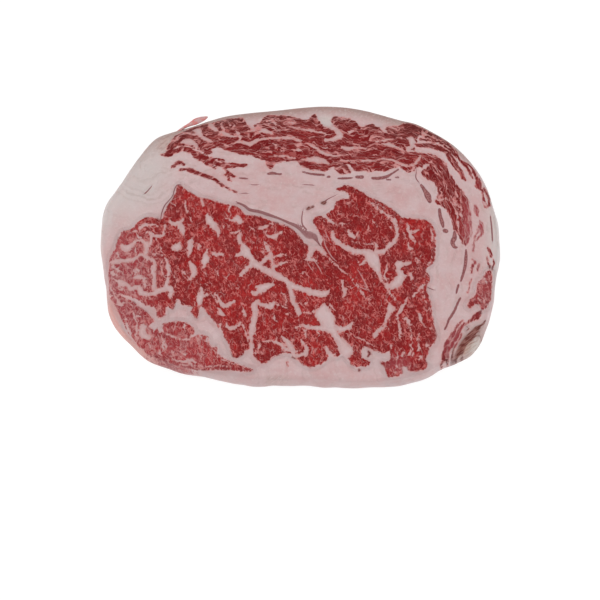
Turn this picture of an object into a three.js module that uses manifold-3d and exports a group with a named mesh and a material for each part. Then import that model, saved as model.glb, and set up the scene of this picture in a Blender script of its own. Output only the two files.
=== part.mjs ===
// A raw ribeye steak: one boneless slice cut across the rib, lying flat on a cut face.
// Millimetres, +Z up. The origin is on the resting face, under the middle of the slice.
// +X runs along the slice's long side and +Y points to the cap, the long muscle round its back.
// The slice is one piece. Its muscles stand a little proud of the fat, seams run between them,
// the rim is soft and rounded, one corner has dried into folds, and a torn shred hangs at the rim.
import * as THREE from "three";
import { mergeVertices } from "three/addons/utils/BufferGeometryUtils.js";
import Module from "manifold-3d";

// Driving dimensions.
const THICKNESS = 22; // from cut face to cut face
const LONG_HALF = 100; // half the slice's length, which only spreads the facets evenly
const SHORT_HALF = 71; // half its width, likewise
const RIM_BULGE = 1.6; // how far the rim swells past the cut faces' edges
const RIM_WAVES = [
  { count: 13, height: 0.35, twist: 2 }, // waves round the rim, which lean with height
  { count: 29, height: 0.25, twist: -3 },
];
const RIM_ROUND = 4; // rounding of the upper edge
const SOFT_ROUND = 4.5; // added where the thick fat at the left slumps
const SOFT_SIDE = THREE.MathUtils.degToRad(152); // direction in which that fat lies
const FOOT_ROUND = 2.5; // rounding of the lower edge
const MUSCLE_RISE = 1.1; // how far a muscle stands above the fat
const SHOULDER = 5; // width of the slope up to a muscle
const SEAM_DEPTH = 1;
const SEAM_HALF_WIDTH = 3.2;
const SWELLS = [
  { height: 0.3, along: 34, across: 60, phase: 1.3 }, // slow rise and fall of the cut face
  { height: 0.25, along: -70, across: 42, phase: 0.4 },
  { height: 0.25, along: 56, across: -90, phase: 2.6 },
];
const FACETS = { long: 68, short: 46, high: 6 }; // the lowest row is cut off to leave a flat face
const CROWDING = 0.22; // draws the facets towards the rim, where the slice is rounded

// The rim seen from above, anticlockwise from the right.
const RIM = [
  [99.8, 4], [98.5, 14], [94.8, 27.8], [87.8, 40], [78.3, 50.2], [67, 57.6], [59.5, 61.5],
  [52, 63.4], [42, 66.4], [33, 68.9], [23, 70.6], [12, 71.2], [2, 70.7], [-12, 69.3], [-27, 68],
  [-38, 66.5], [-47, 64], [-57.5, 60.4], [-66.5, 57.8], [-74, 54.6], [-82.3, 44.9], [-89.6, 33.5],
  [-97.2, 21], [-99.9, 11], [-100.2, 0], [-98.8, -11], [-96.2, -22], [-95, -34.5], [-91, -42.6],
  [-84, -51], [-75, -58], [-62.5, -62.8], [-46, -66.8], [-29, -70], [-8, -70.8], [10, -70.8],
  [24, -71.7], [38, -71.5], [52, -69.8], [61, -67.4], [70.5, -62.6], [78, -60], [85.3, -55],
  [92, -43.6], [96, -31], [98.5, -17], [100, -4],
];

// Muscles that are closed shapes on the cut face.
const EYE = [
  [-61, 27], [-50, 19.5], [-36, 17], [-18, 10.5], [-3, 4.5], [8, -7], [22, -22], [40, -34],
  [44, -48], [30, -60], [6, -61], [-18, -59], [-32, -55], [-42, -38], [-62, -34], [-80, -28],
  [-93, -18], [-91, -3], [-84, 5], [-75, 11], [-68, 12],
];
const LOBE = [
  [20, 27], [33, 23], [48, 11], [60, 10], [66, 0], [62, -14], [64, -38], [65, -50], [60, -63],
  [46, -67], [42, -52], [42, -34], [28, -22], [14, -7], [7, 10],
];
const CORNER_MUSCLE = [
  [-93, -28], [-81, -33], [-73, -44], [-60, -41], [-50, -48], [-40, -58], [-26, -63.5],
  [-58, -61.5], [-74, -54], [-87, -43],
];

// Muscles that are bands: points along the middle, each with half the band's width there.
const CAP = [
  [-63, 47, 3], [-45, 52, 8], [-20, 53, 10], [5, 52, 12], [30, 48, 12], [50, 48, 11], [66, 42, 9],
  [74, 30, 8], [79, 16, 5], [81, 2, 3],
];
const BANDS = [
  CAP,
  [[-60, 37, 1.5], [-48, 32.5, 2], [-35, 26, 1]],
  [[92, -5, 2], [91, -18, 4], [87, -29, 5]],
  [[87, -37, 2], [76, -46, 2.5], [70, -58, 1.5]],
];

// Seams between muscles, where the membrane has drawn in.
const SEAMS = [
  [[-68.5, 9], [-66, 19], [-60.5, 27.5]],
  [[-40, 19.5], [-28, 18.5], [-12, 11.5], [3, 2.5], [20, -13], [34, -31]],
  [[58, 34], [61, 26], [67, 20], [69, 8], [76, 0]],
  [[81, -4], [79, -18], [76, -31], [71, -44]],
];

// The corner that has dried into folds.
const DRY_CORNER = { x: 84, y: -50, along: THREE.MathUtils.degToRad(49), long: 13, across: 7 };
const FOLD_DEPTH = 1.1;
const FOLD_PITCH = 5;

// The torn shred: points along its middle, and its half width and half thickness.
const SHRED = [[-65, 53, 16.5], [-58, 58.8, 17.5], [-52, 61.8, 18], [-46.5, 65.2, 17.2]];
const SHRED_HALF = { wide: 1.3, thick: 0.8 };

const smoothstep = THREE.MathUtils.smoothstep;

/** A smooth curve through points of two or three numbers. */
function curveThrough(points, closed) {
  const corners = points.map(([x, y, z = 0]) => new THREE.Vector3(x, y, z));
  return new THREE.CatmullRomCurve3(corners, closed, "centripetal");
}

/** Distance from a point to a polyline, with how far along the nearest spot is, as an index. */
function nearest(line, x, y) {
  let best = { distance: Infinity, at: 0 };
  for (let i = 0; i + 1 < line.length; i++) {
    const [a, b] = [line[i], line[i + 1]];
    const [dx, dy] = [b.x - a.x, b.y - a.y];
    const t = THREE.MathUtils.clamp(((x - a.x) * dx + (y - a.y) * dy) / (dx * dx + dy * dy), 0, 1);
    const distance = Math.hypot(x - a.x - t * dx, y - a.y - t * dy);
    if (distance < best.distance) best = { distance, at: i + t };
  }
  return best;
}

/** True where a ray along +X from the point crosses the closed line an odd number of times. */
function inside(line, x, y) {
  let odd = false;
  for (let i = 0; i + 1 < line.length; i++) {
    const [a, b] = [line[i], line[i + 1]];
    if (a.y > y !== b.y > y && x < a.x + ((y - a.y) / (b.y - a.y)) * (b.x - a.x)) odd = !odd;
  }
  return odd;
}

/** How far inside a closed muscle a point lies, in mm, and below 0 outside it. */
function depthInShape(points) {
  const line = curveThrough(points, true).getPoints(points.length * 4);
  return (x, y) => nearest(line, x, y).distance * (inside(line, x, y) ? 1 : -1);
}

/** The same for a band. The third number of each point is the band's half width there. */
function depthInBand(points) {
  const line = curveThrough(points, false).getPoints(points.length * 4);
  return (x, y) => {
    const { distance, at } = nearest(line, x, y);
    const i = Math.min(Math.floor(at), line.length - 2);
    return THREE.MathUtils.lerp(line[i].z, line[i + 1].z, at - i) - distance;
  };
}

const muscles = [...[EYE, LOBE, CORNER_MUSCLE].map(depthInShape), ...BANDS.map(depthInBand)];
const seams = SEAMS.map((points) => curveThrough(points, false).getPoints(points.length * 4));

/** The rim's distance from the origin in every direction, read off its curve. */
const rimDistance = (() => {
  const line = curveThrough(RIM, true).getPoints(RIM.length * 8);
  return (angle) => {
    const [dx, dy] = [Math.cos(angle), Math.sin(angle)];
    for (let i = 0; i + 1 < line.length; i++) {
      const [a, b] = [line[i], line[i + 1]];
      const [sideA, sideB] = [a.y * dx - a.x * dy, b.y * dx - b.x * dy];
      if (sideA > 0 === sideB > 0) continue;
      const t = sideA / (sideA - sideB);
      const reach = (a.x + t * (b.x - a.x)) * dx + (a.y + t * (b.y - a.y)) * dy;
      if (reach > 0) return reach;
    }
    throw new Error("the rim doesn't close round the origin");
  };
})();

/** Folds of the dried corner: ridges that run along it and fade out at its edges. */
function driedFolds(x, y) {
  const [cos, sin] = [Math.cos(DRY_CORNER.along), Math.sin(DRY_CORNER.along)];
  const along = (x - DRY_CORNER.x) * cos + (y - DRY_CORNER.y) * sin;
  const across = (y - DRY_CORNER.y) * cos - (x - DRY_CORNER.x) * sin;
  const out = Math.hypot(along / DRY_CORNER.long, across / DRY_CORNER.across);
  const ridge = 0.5 + 0.5 * Math.cos((2 * Math.PI * across) / FOLD_PITCH + along / 6);
  return -FOLD_DEPTH * ridge * (1 - smoothstep(out, 0.5, 1));
}

/** The sum of the slow waves at a point of the cut face. Each is one wavelength along X and one along Y. */
function swell(x, y) {
  const wave = ({ height, along, across, phase }) =>
    height * Math.sin(2 * Math.PI * (x / along + y / across) + phase);
  return SWELLS.reduce((sum, each) => sum + wave(each), 0);
}

/** How far the rim stands out from its even bulge, in a direction and at a height from 0 to 1. */
function waver(angle, w) {
  const wave = ({ count, height, twist }) => height * Math.sin(count * angle + twist * w);
  return RIM_WAVES.reduce((sum, each) => sum + wave(each), 0);
}

/** Height of the upper cut face above its mean, away from the rim. */
function relief(x, y) {
  const depth = Math.max(...muscles.map((depthAt) => depthAt(x, y)));
  const muscle = MUSCLE_RISE * (smoothstep(depth, -SHOULDER / 2, SHOULDER / 2) - 0.5);
  const toSeam = Math.min(...seams.map((line) => nearest(line, x, y).distance));
  const seam = -SEAM_DEPTH * (1 - smoothstep(toSeam, 0, SEAM_HALF_WIDTH));
  return muscle + seam + swell(x, y) + driedFolds(x, y);
}

/** How far a rounded edge has dropped at some distance in from the rim. */
const drop = (round, inset) => (inset < round ? round - Math.sqrt(round ** 2 - (round - inset) ** 2) : 0);

/** Where a point of the unit block lands: u and v from -1 to 1 in plan, w from 0 below to 1 above. */
function place(u, v, w) {
  const disc = { x: u * Math.sqrt(1 - (v * v) / 2), y: v * Math.sqrt(1 - (u * u) / 2) };
  const out = Math.hypot(disc.x, disc.y);
  const share = out * (1 + CROWDING * (1 - out * out));
  const angle = Math.atan2(disc.y * SHORT_HALF, disc.x * LONG_HALF);
  const edge = rimDistance(angle) - RIM_BULGE;
  const soft = Math.max(0, Math.cos(angle - SOFT_SIDE)) ** 3;
  const round = RIM_ROUND + SOFT_ROUND * soft;
  const rise = (w * FACETS.high - 1) / (FACETS.high - 1);
  const height = rise * (THICKNESS - round);
  const onRim = out > 1 - 1e-6;
  const bulge = Math.sin(Math.PI * Math.max(0, rise)) * (RIM_BULGE + waver(angle, w));
  const side = bulge - drop(FOOT_ROUND, Math.max(0, height));
  const reach = share * edge + (onRim ? side : 0);
  const [x, y] = [reach * Math.cos(angle), reach * Math.sin(angle)];
  if (onRim || w < 0.5) return [x, y, height];
  const inset = (1 - share) * edge;
  return [x, y, THICKNESS - drop(round, inset) + relief(x, y) * smoothstep(inset, 0, 2 * RIM_ROUND)];
}

/** The slice: a finely divided block pushed out to the rim and shaped on its upper face. */
function sliceGeometry() {
  const block = new THREE.BoxGeometry(2, 2, 1, FACETS.long, FACETS.short, FACETS.high);
  const points = block.getAttribute("position");
  for (let i = 0; i < points.count; i++)
    points.setXYZ(i, ...place(points.getX(i), points.getY(i), points.getZ(i) + 0.5));
  return block;
}

/** The shred: a ball drawn out along a curve, so that it tapers to both ends. */
function shredGeometry() {
  const ball = new THREE.SphereGeometry(1, 14, 20).rotateZ(-Math.PI / 2);
  const path = curveThrough(SHRED, false);
  const points = ball.getAttribute("position");
  for (let i = 0; i < points.count; i++) {
    const t = THREE.MathUtils.clamp((points.getX(i) + 1) / 2, 0, 1);
    const middle = path.getPoint(t);
    const along = path.getTangent(t);
    points.setXYZ(
      i,
      middle.x - along.y * points.getY(i) * SHRED_HALF.wide,
      middle.y + along.x * points.getY(i) * SHRED_HALF.wide,
      middle.z + points.getZ(i) * SHRED_HALF.thick,
    );
  }
  return ball;
}

const wasm = await Module();
wasm.setup();

/** A closed geometry as a solid that can be joined. */
function toSolid(geometry) {
  geometry.deleteAttribute("normal");
  geometry.deleteAttribute("uv");
  const merged = mergeVertices(geometry, 1e-3);
  return new wasm.Manifold(
    new wasm.Mesh({
      numProp: 3,
      vertProperties: merged.getAttribute("position").array,
      triVerts: new Uint32Array(merged.index.array),
    }),
  );
}

/** A solid as a geometry again. */
function toGeometry(solid) {
  const { vertProperties, triVerts } = solid.getMesh();
  const geometry = new THREE.BufferGeometry();
  geometry.setAttribute("position", new THREE.BufferAttribute(vertProperties, 3));
  geometry.setIndex(new THREE.BufferAttribute(triVerts, 1));
  geometry.computeVertexNormals();
  return geometry;
}

/** All that lies below the resting face, to be cut away. */
function underneathGeometry() {
  const room = new THREE.BoxGeometry(4 * LONG_HALF, 4 * SHORT_HALF, THICKNESS);
  return room.translate(0, 0, -THICKNESS / 2);
}

const joined = toSolid(sliceGeometry()).add(toSolid(shredGeometry()));
const trimmed = joined.subtract(toSolid(underneathGeometry()));
const meat = new THREE.MeshStandardMaterial({ color: 0xb4575a, roughness: 0.5, metalness: 0 });
const steak = new THREE.Mesh(toGeometry(trimmed), meat);
steak.name = "steak";

const group = new THREE.Group();
group.add(steak);
export default group;
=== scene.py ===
"""A raw ribeye slice: marbled muscles, seams of fat, a dried corner and a torn shred, on a pale floor."""

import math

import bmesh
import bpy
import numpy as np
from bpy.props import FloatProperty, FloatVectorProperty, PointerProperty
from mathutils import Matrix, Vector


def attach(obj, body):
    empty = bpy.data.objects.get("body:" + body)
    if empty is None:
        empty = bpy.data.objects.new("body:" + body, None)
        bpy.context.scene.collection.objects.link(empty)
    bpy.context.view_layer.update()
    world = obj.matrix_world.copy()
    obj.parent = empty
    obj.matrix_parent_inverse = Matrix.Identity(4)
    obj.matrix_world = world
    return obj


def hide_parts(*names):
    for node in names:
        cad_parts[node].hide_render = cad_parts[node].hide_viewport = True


bl_info = {
    "name": "Raw Ribeye Steak",
    "version": (1, 0, 0),
    "blender": (4, 5, 0),
    "location": "3D View > Sidebar > Steak",
    "description": "Builds a raw, marbled ribeye slice on a pale floor",
    "category": "Add Mesh",
}

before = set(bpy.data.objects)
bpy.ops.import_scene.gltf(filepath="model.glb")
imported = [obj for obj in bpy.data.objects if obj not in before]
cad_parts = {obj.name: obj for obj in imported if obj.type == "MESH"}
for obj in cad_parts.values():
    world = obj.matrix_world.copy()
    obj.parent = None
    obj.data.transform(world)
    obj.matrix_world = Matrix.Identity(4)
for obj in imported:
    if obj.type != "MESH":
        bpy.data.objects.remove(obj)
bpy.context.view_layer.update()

MM = 0.001

# Everything from here to the shapes' functions is in millimetres, seen from above: +X along the slice,
# +Y towards the cap, and the origin under the middle. A shape is a closed outline. A band is a middle
# line whose third number is half its width.

RIM = [
    (99.8, 4), (98.5, 14), (94.8, 27.8), (87.8, 40), (78.3, 50.2), (67, 57.6), (59.5, 61.5),
    (52, 63.4), (42, 66.4), (33, 68.9), (23, 70.6), (12, 71.2), (2, 70.7), (-12, 69.3), (-27, 68),
    (-38, 66.5), (-47, 64), (-57.5, 60.4), (-66.5, 57.8), (-74, 54.6), (-82.3, 44.9), (-89.6, 33.5),
    (-97.2, 21), (-99.9, 11), (-100.2, 0), (-98.8, -11), (-96.2, -22), (-95, -34.5), (-91, -42.6),
    (-84, -51), (-75, -58), (-62.5, -62.8), (-46, -66.8), (-29, -70), (-8, -70.8), (10, -70.8),
    (24, -71.7), (38, -71.5), (52, -69.8), (61, -67.4), (70.5, -62.6), (78, -60), (85.3, -55),
    (92, -43.6), (96, -31), (98.5, -17), (100, -4),
]

EYE = [
    (-60.5, 28), (-57, 25.8), (-53, 23), (-48, 21), (-43, 20), (-38, 18.4), (-33, 17.3), (-29.5, 15.8),
    (-27, 13.3), (-22, 12.3), (-17, 11), (-13, 9), (-8, 7.5), (-4, 5.2), (-0.5, 2), (2, -1.5), (7, -4),
    (10, -3.5), (11.3, 0.5), (9, 5), (6.8, 9.5), (8.2, 12), (11, 12), (14.5, 14), (17.5, 17), (19, 20),
    (24.5, 21.3), (24, 23.8), (18.5, 25.8), (22.5, 27.3), (27, 26.3), (33, 22.8), (40, 19), (45.5, 15.8),
    (48.8, 12.5), (50, 11.5), (57, 10.7), (63.5, 9), (66.2, 5), (66.7, -2), (65.8, -10.5), (61.8, -14.3),
    (63.5, -19), (61.8, -24), (63.5, -29), (65, -40), (66, -50), (63, -53.5), (62.2, -57), (60.8, -59.7),
    (61.7, -62), (60.2, -64), (55.5, -64.8), (53, -64.7), (52, -62.8), (50.3, -62), (49.6, -64),
    (49.8, -66), (48.3, -67), (46, -67.6), (42.8, -67.5), (42, -65.5), (41, -63), (39.5, -60.7),
    (42, -60.5), (44.2, -59.3), (44.2, -56.5), (43.5, -55.2), (41, -56), (37.5, -55.2), (34.5, -54.2),
    (32.1, -52.7), (30.3, -54.3), (29.8, -58), (31.3, -59.3), (34, -60.3), (33.3, -62.2), (30, -62.3),
    (28.5, -63.2), (25.8, -62), (23.9, -59.5), (20.5, -56.5), (17.5, -58), (14.5, -57), (13, -59.5),
    (5, -63), (-2, -58.5), (-4, -56), (-13, -57.5), (-17.5, -61), (-21.7, -58.5), (-25, -54), (-28.5, -57),
    (-31.5, -58.5), (-35, -50.5), (-39, -44), (-44, -37.5), (-48.5, -33), (-50, -38.5), (-53, -36),
    (-52, -33), (-57, -32.5), (-60, -29), (-62.5, -34), (-65, -33), (-66, -37.5), (-69, -38.5),
    (-70.5, -34), (-75.5, -32.5), (-78, -30.5), (-83, -28.5), (-88, -27), (-93.5, -27), (-94, -15),
    (-93, -8.5), (-90.5, -4), (-89, 1), (-87.5, 4.3), (-84, 4.8), (-82, 6.5), (-79, 10), (-75, 11.4),
    (-71, 11), (-69, 9.7), (-67.5, 11), (-66.5, 14), (-65, 17.5), (-63, 20.5), (-61.5, 24),
]

CORNER_MUSCLE = [
    (-94, -24), (-88, -28), (-82, -31), (-76, -35.5), (-71, -40.5), (-73, -43), (-71, -45.5), (-69, -44),
    (-66.5, -46), (-66.5, -42), (-62, -40.8), (-56, -41), (-51.5, -45), (-53.5, -48.5), (-49, -47.3),
    (-45, -48.3), (-43.5, -53), (-40.5, -53.5), (-40.1, -56), (-38.7, -57.7), (-35.3, -59.7), (-31.9, -61),
    (-26, -63.2), (-23, -64.3), (-29.5, -65), (-33, -64.3), (-50, -63.9), (-61, -63.1), (-66, -60.3),
    (-72, -57.8), (-75.5, -55.3), (-80, -50.3), (-83.7, -45.5), (-86.3, -40), (-89, -35), (-92, -30),
    (-94, -26),
]

CAP = [
    (-66, 45), (-66, 47), (-64, 50.5), (-62, 53.5), (-58, 55.8), (-53, 58), (-47, 60), (-41, 61),
    (-35, 62.3), (-29, 62.5), (-27.5, 61), (-24, 58.5), (-21.5, 59.5), (-19, 61.5), (-17, 63.5),
    (-12, 63.8), (-6, 63.3), (0, 62), (4, 61.8), (6, 63.5), (7.8, 64.5), (8.5, 62), (10, 60.5), (13, 59),
    (15.5, 59.5), (15.8, 61.5), (17, 63.3), (21, 62.7), (25, 61.8), (27.5, 60.5), (30, 58), (34, 58.5),
    (36.5, 59.5), (38, 57.5), (40, 57.5), (41, 56), (45, 58.5), (49, 58.5), (53, 60), (58, 59), (62, 56.5),
    (60, 54), (58.5, 52), (58, 49.5), (57, 47), (58, 44.8), (62, 44), (65.5, 43.8), (69, 42), (72.5, 39),
    (73.5, 35.5), (76, 31.5), (77.5, 28.5), (80.5, 25), (83, 21), (84, 16), (84.8, 10), (84, 5), (83, 0),
    (81.5, -2.5), (80, -1), (79, 2), (76.5, 4.5), (75.5, 7), (75, 11), (73, 15), (70, 17.5), (67.5, 19),
    (68.5, 23), (68, 26.5), (66, 30), (63, 31.5), (60.5, 34), (61.5, 37), (59, 37.7), (56.5, 35.5),
    (54, 34.7), (51.5, 36), (49, 37.7), (46, 36.3), (43, 35.5), (38, 35.2), (32, 35.3), (27, 35.5),
    (25, 38.8), (23, 38.5), (25, 34.5), (22, 34), (18, 35), (17, 37), (15, 36.8), (13, 35.2), (10, 36),
    (5, 36.3), (1, 37.8), (-1.5, 40.3), (-5, 40.5), (-11, 39.5), (-13.5, 37), (-15.5, 36.5), (-16.5, 38),
    (-17, 40.5), (-20, 41.2), (-25, 43.3), (-30, 44), (-35, 45.5), (-38.5, 46.7), (-40.5, 47.8),
    (-42.5, 47.3), (-44.5, 46.8), (-44, 45), (-44.7, 43.8), (-46.5, 43.6), (-48, 45), (-50, 46.3),
    (-53, 47), (-58, 48.5), (-62, 47.5),
]

SIDE_MUSCLE = [
    (91.5, -16), (93.5, -15), (94.5, -19), (94, -25), (93.5, -30), (91.5, -33), (89, -34.5),
    (88, -32), (85.5, -32), (83, -34), (82, -32.5), (83.5, -30), (86, -27), (87, -22), (89, -19.5),
    (90.5, -18),
]

MUSCLES = (EYE, CORNER_MUSCLE, CAP, SIDE_MUSCLE)

# Strands of lean that lie in the fat.
STRANDS = [
    [(-69, 43.8, 0.3), (-66, 43.6, 1), (-62, 45.6, 1), (-58, 46.5, 1.1), (-54, 45.2, 1),
     (-50, 43, 1.4), (-46, 40.8, 1.3), (-42, 39.3, 1.1), (-38, 38.3, 1), (-34, 38, 1.2),
     (-30, 38, 0.8), (-26.5, 38, 0.8)],
    [(-53, 42.8, 0.3), (-49, 40.5, 0.4), (-45, 38.3, 0.4), (-42, 36.5, 0.3)],
    [(-45, 41.9, 0.4), (-41, 41.4, 0.4), (-38, 40.5, 0.5)],
    [(-64, 37.2, 0.3), (-61.5, 38.8, 0.7), (-59.5, 39.6, 0.8), (-57.5, 38.7, 0.4)],
    [(-60, 36, 0.3), (-56.5, 36.2, 0.6), (-54, 35.3, 0.9), (-50, 33.8, 0.8), (-46, 32.3, 0.8),
     (-42, 30.5, 0.7), (-38.5, 28, 0.5), (-35, 25.8, 0.4), (-31.5, 24.3, 0.2)],
    [(-38, 37, 0.4), (-36, 34.8, 0.5), (-34.5, 33.3, 1), (-32, 32.3, 0.3)],
    [(-37.8, 32.8, 0.3), (-36, 33.3, 0.6), (-35.3, 31, 0.6), (-34, 30.2, 0.2)],
    [(58, 48.7, 0.7), (62, 48.4, 1), (66, 48, 1.1), (70, 46.8, 0.9), (73, 44.8, 1),
     (75.3, 41.5, 1.3), (77.7, 38, 1.3), (79.5, 35, 1.1), (81, 32.5, 0.8), (82.5, 30.5, 0.3)],
    [(61, 56.8, 0.5), (64, 54.8, 0.7), (68, 53, 0.8), (71.5, 50.8, 0.9), (74.5, 48.3, 0.8),
     (77, 45.5, 0.6), (78.5, 43, 0.3)],
    [(79, 42, 0.3), (81, 39.3, 0.5), (83.3, 36.5, 0.5), (85.3, 33, 0.5), (86, 31.5, 0.3)],
    [(81.5, 39.7, 0.2), (84.3, 38, 0.45), (86.5, 35, 0.5), (88, 31.5, 0.8), (88.7, 29, 1.5),
     (88.8, 27, 1.2), (89.5, 25.5, 0.4)],
    [(60.5, 54.3, 0.5), (64, 52.6, 0.6), (68, 50.9, 0.5), (71, 49.2, 0.3)],
    [(60, 51.7, 0.4), (64, 50.8, 0.4), (68, 50.2, 0.3)],
    [(72, 48, 0.4), (75.5, 45, 0.5), (78, 42, 0.4)],
    [(90.3, 25.5, 0.3), (91, 22.5, 0.45), (91.2, 19.5, 0.5), (92, 17, 0.6)],
    [(91.5, 26.3, 0.3), (93, 23.5, 0.4), (93.8, 20.5, 0.45), (93.6, 17.5, 0.5), (92.7, 16.4, 0.4)],
    [(86.6, 17.5, 0.5), (87.3, 15.5, 0.9), (88, 12.8, 0.6)],
    [(89, 9.5, 0.3), (89.7, 7.5, 0.7), (89.9, 4.5, 0.6), (88.5, 2, 0.25), (87, 0, 0.2)],
    [(89, 8.5, 0.15), (87.5, 4, 0.2), (86, 0, 0.2), (85.5, -5, 0.2)],
    [(83.7, 12, 0.2), (84.7, 7, 0.25), (84.4, 2, 0.2)],
    [(84.7, -9.5, 0.3), (86.3, -11, 0.35), (85, -13, 0.45), (84.3, -16.5, 0.4)],
    [(88, -12, 0.2), (87.3, -15, 0.25)],
    [(92.7, -4, 0.4), (93.7, -6.3, 0.7), (94.3, -8.3, 0.4)],
    [(92.3, -8, 0.2), (92.5, -11, 0.25), (93.3, -13.7, 0.3)],
    [(95, -9.5, 0.2), (95.5, -12, 0.2), (94.7, -14.5, 0.25)],
    [(84, -20, 0.15), (83, -23, 0.2), (82, -27, 0.15)],
    [(88.3, -35.8, 0.5), (86.8, -37.8, 1.3), (84.6, -39.5, 0.9), (82.2, -41, 0.5), (80.5, -41.4, 0.3)],
    [(79.5, -39.5, 0.25), (77.5, -42.3, 0.4), (75.5, -45.3, 0.6), (73.3, -48.5, 0.8), (71.7, -52, 1),
     (70.6, -55.5, 0.9), (69.8, -58.5, 0.8), (69.3, -61, 0.4), (69.2, -62.6, 0.2)],
    [(80, -41.5, 0.4), (78.8, -44, 0.7), (76.8, -47, 0.9), (74.8, -50, 0.9), (73, -53.3, 0.8),
     (72.3, -56, 0.5), (71.7, -59.5, 0.35), (72.3, -62, 0.3)],
    [(78.6, -47, 0.25), (76.8, -50.3, 0.35), (75.2, -53, 0.3)],
    [(33.3, -55.5, 0.4), (34, -56.7, 0.5), (33.3, -57.8, 0.3)],
    [(28.7, -64.3, 0.3), (28.9, -64.7, 0.4)],
    [(-6.3, -60.8, 0.4), (-6, -62.4, 0.3)],
    [(-3.5, -58, 0.2), (1, -60.5, 0.25), (5, -63, 0.2)],
]

# Small pieces of lean that have gone grey in the fat.
GREY_ISLANDS = [
    [(-16, 33.7, 0.3), (-13.5, 34.2, 0.6), (-11, 33.8, 0.3), (-9.3, 33.8, 0.35)],
    [(1.5, 35, 0.25), (5, 34, 0.35), (9, 33.5, 0.4), (12, 33.2, 0.4)],
    [(13.7, 32.3, 0.3), (14.7, 32.3, 0.45)],
    [(19, 31.5, 0.25), (22, 31.5, 0.4), (26, 31.8, 0.25)],
    [(28.3, 32.3, 0.6), (31, 32.3, 0.75)],
    [(36, 31.7, 0.5), (39, 31.6, 0.6), (43, 32.3, 0.6), (46, 34, 0.3), (49, 36, 0.25)],
    [(43.3, 30.8, 0.25), (45, 30.8, 0.25)],
    [(47.5, 32, 0.2), (49, 31.9, 0.3)],
    [(-30, 31.8, 0.2), (-28, 31.6, 0.3), (-26, 31.3, 0.2)],
    [(60.3, 28, 0.5), (62, 25.3, 0.8), (63.5, 22.5, 1.4), (64.4, 19.8, 0.8)],
    [(69.1, 15.5, 0.6), (69.5, 12, 0.7), (70.4, 9, 0.8), (70.8, 6.8, 0.4)],
    [(71.6, 4.9, 0.9), (72.3, 4.7, 0.9)],
    [(76.3, 4.3, 0.4), (76.4, 1.5, 1), (75.3, -1, 0.9), (76.3, -3.2, 0.7), (77.3, -3.5, 0.4)],
    [(82, -4.8, 0.3), (81.8, -9, 0.65), (81, -14, 0.55), (79.5, -19, 0.4), (79, -20.5, 0.25)],
    [(77.8, -22.5, 0.4), (77, -25, 0.35), (76.7, -26.5, 0.25)],
    [(78.6, -29, 0.3), (77.2, -31.5, 0.35), (75.7, -35, 0.45), (74.2, -37.5, 0.45), (72.7, -39.7, 0.4),
     (71.9, -42, 0.3), (70.7, -44.4, 0.3)],
]

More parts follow.
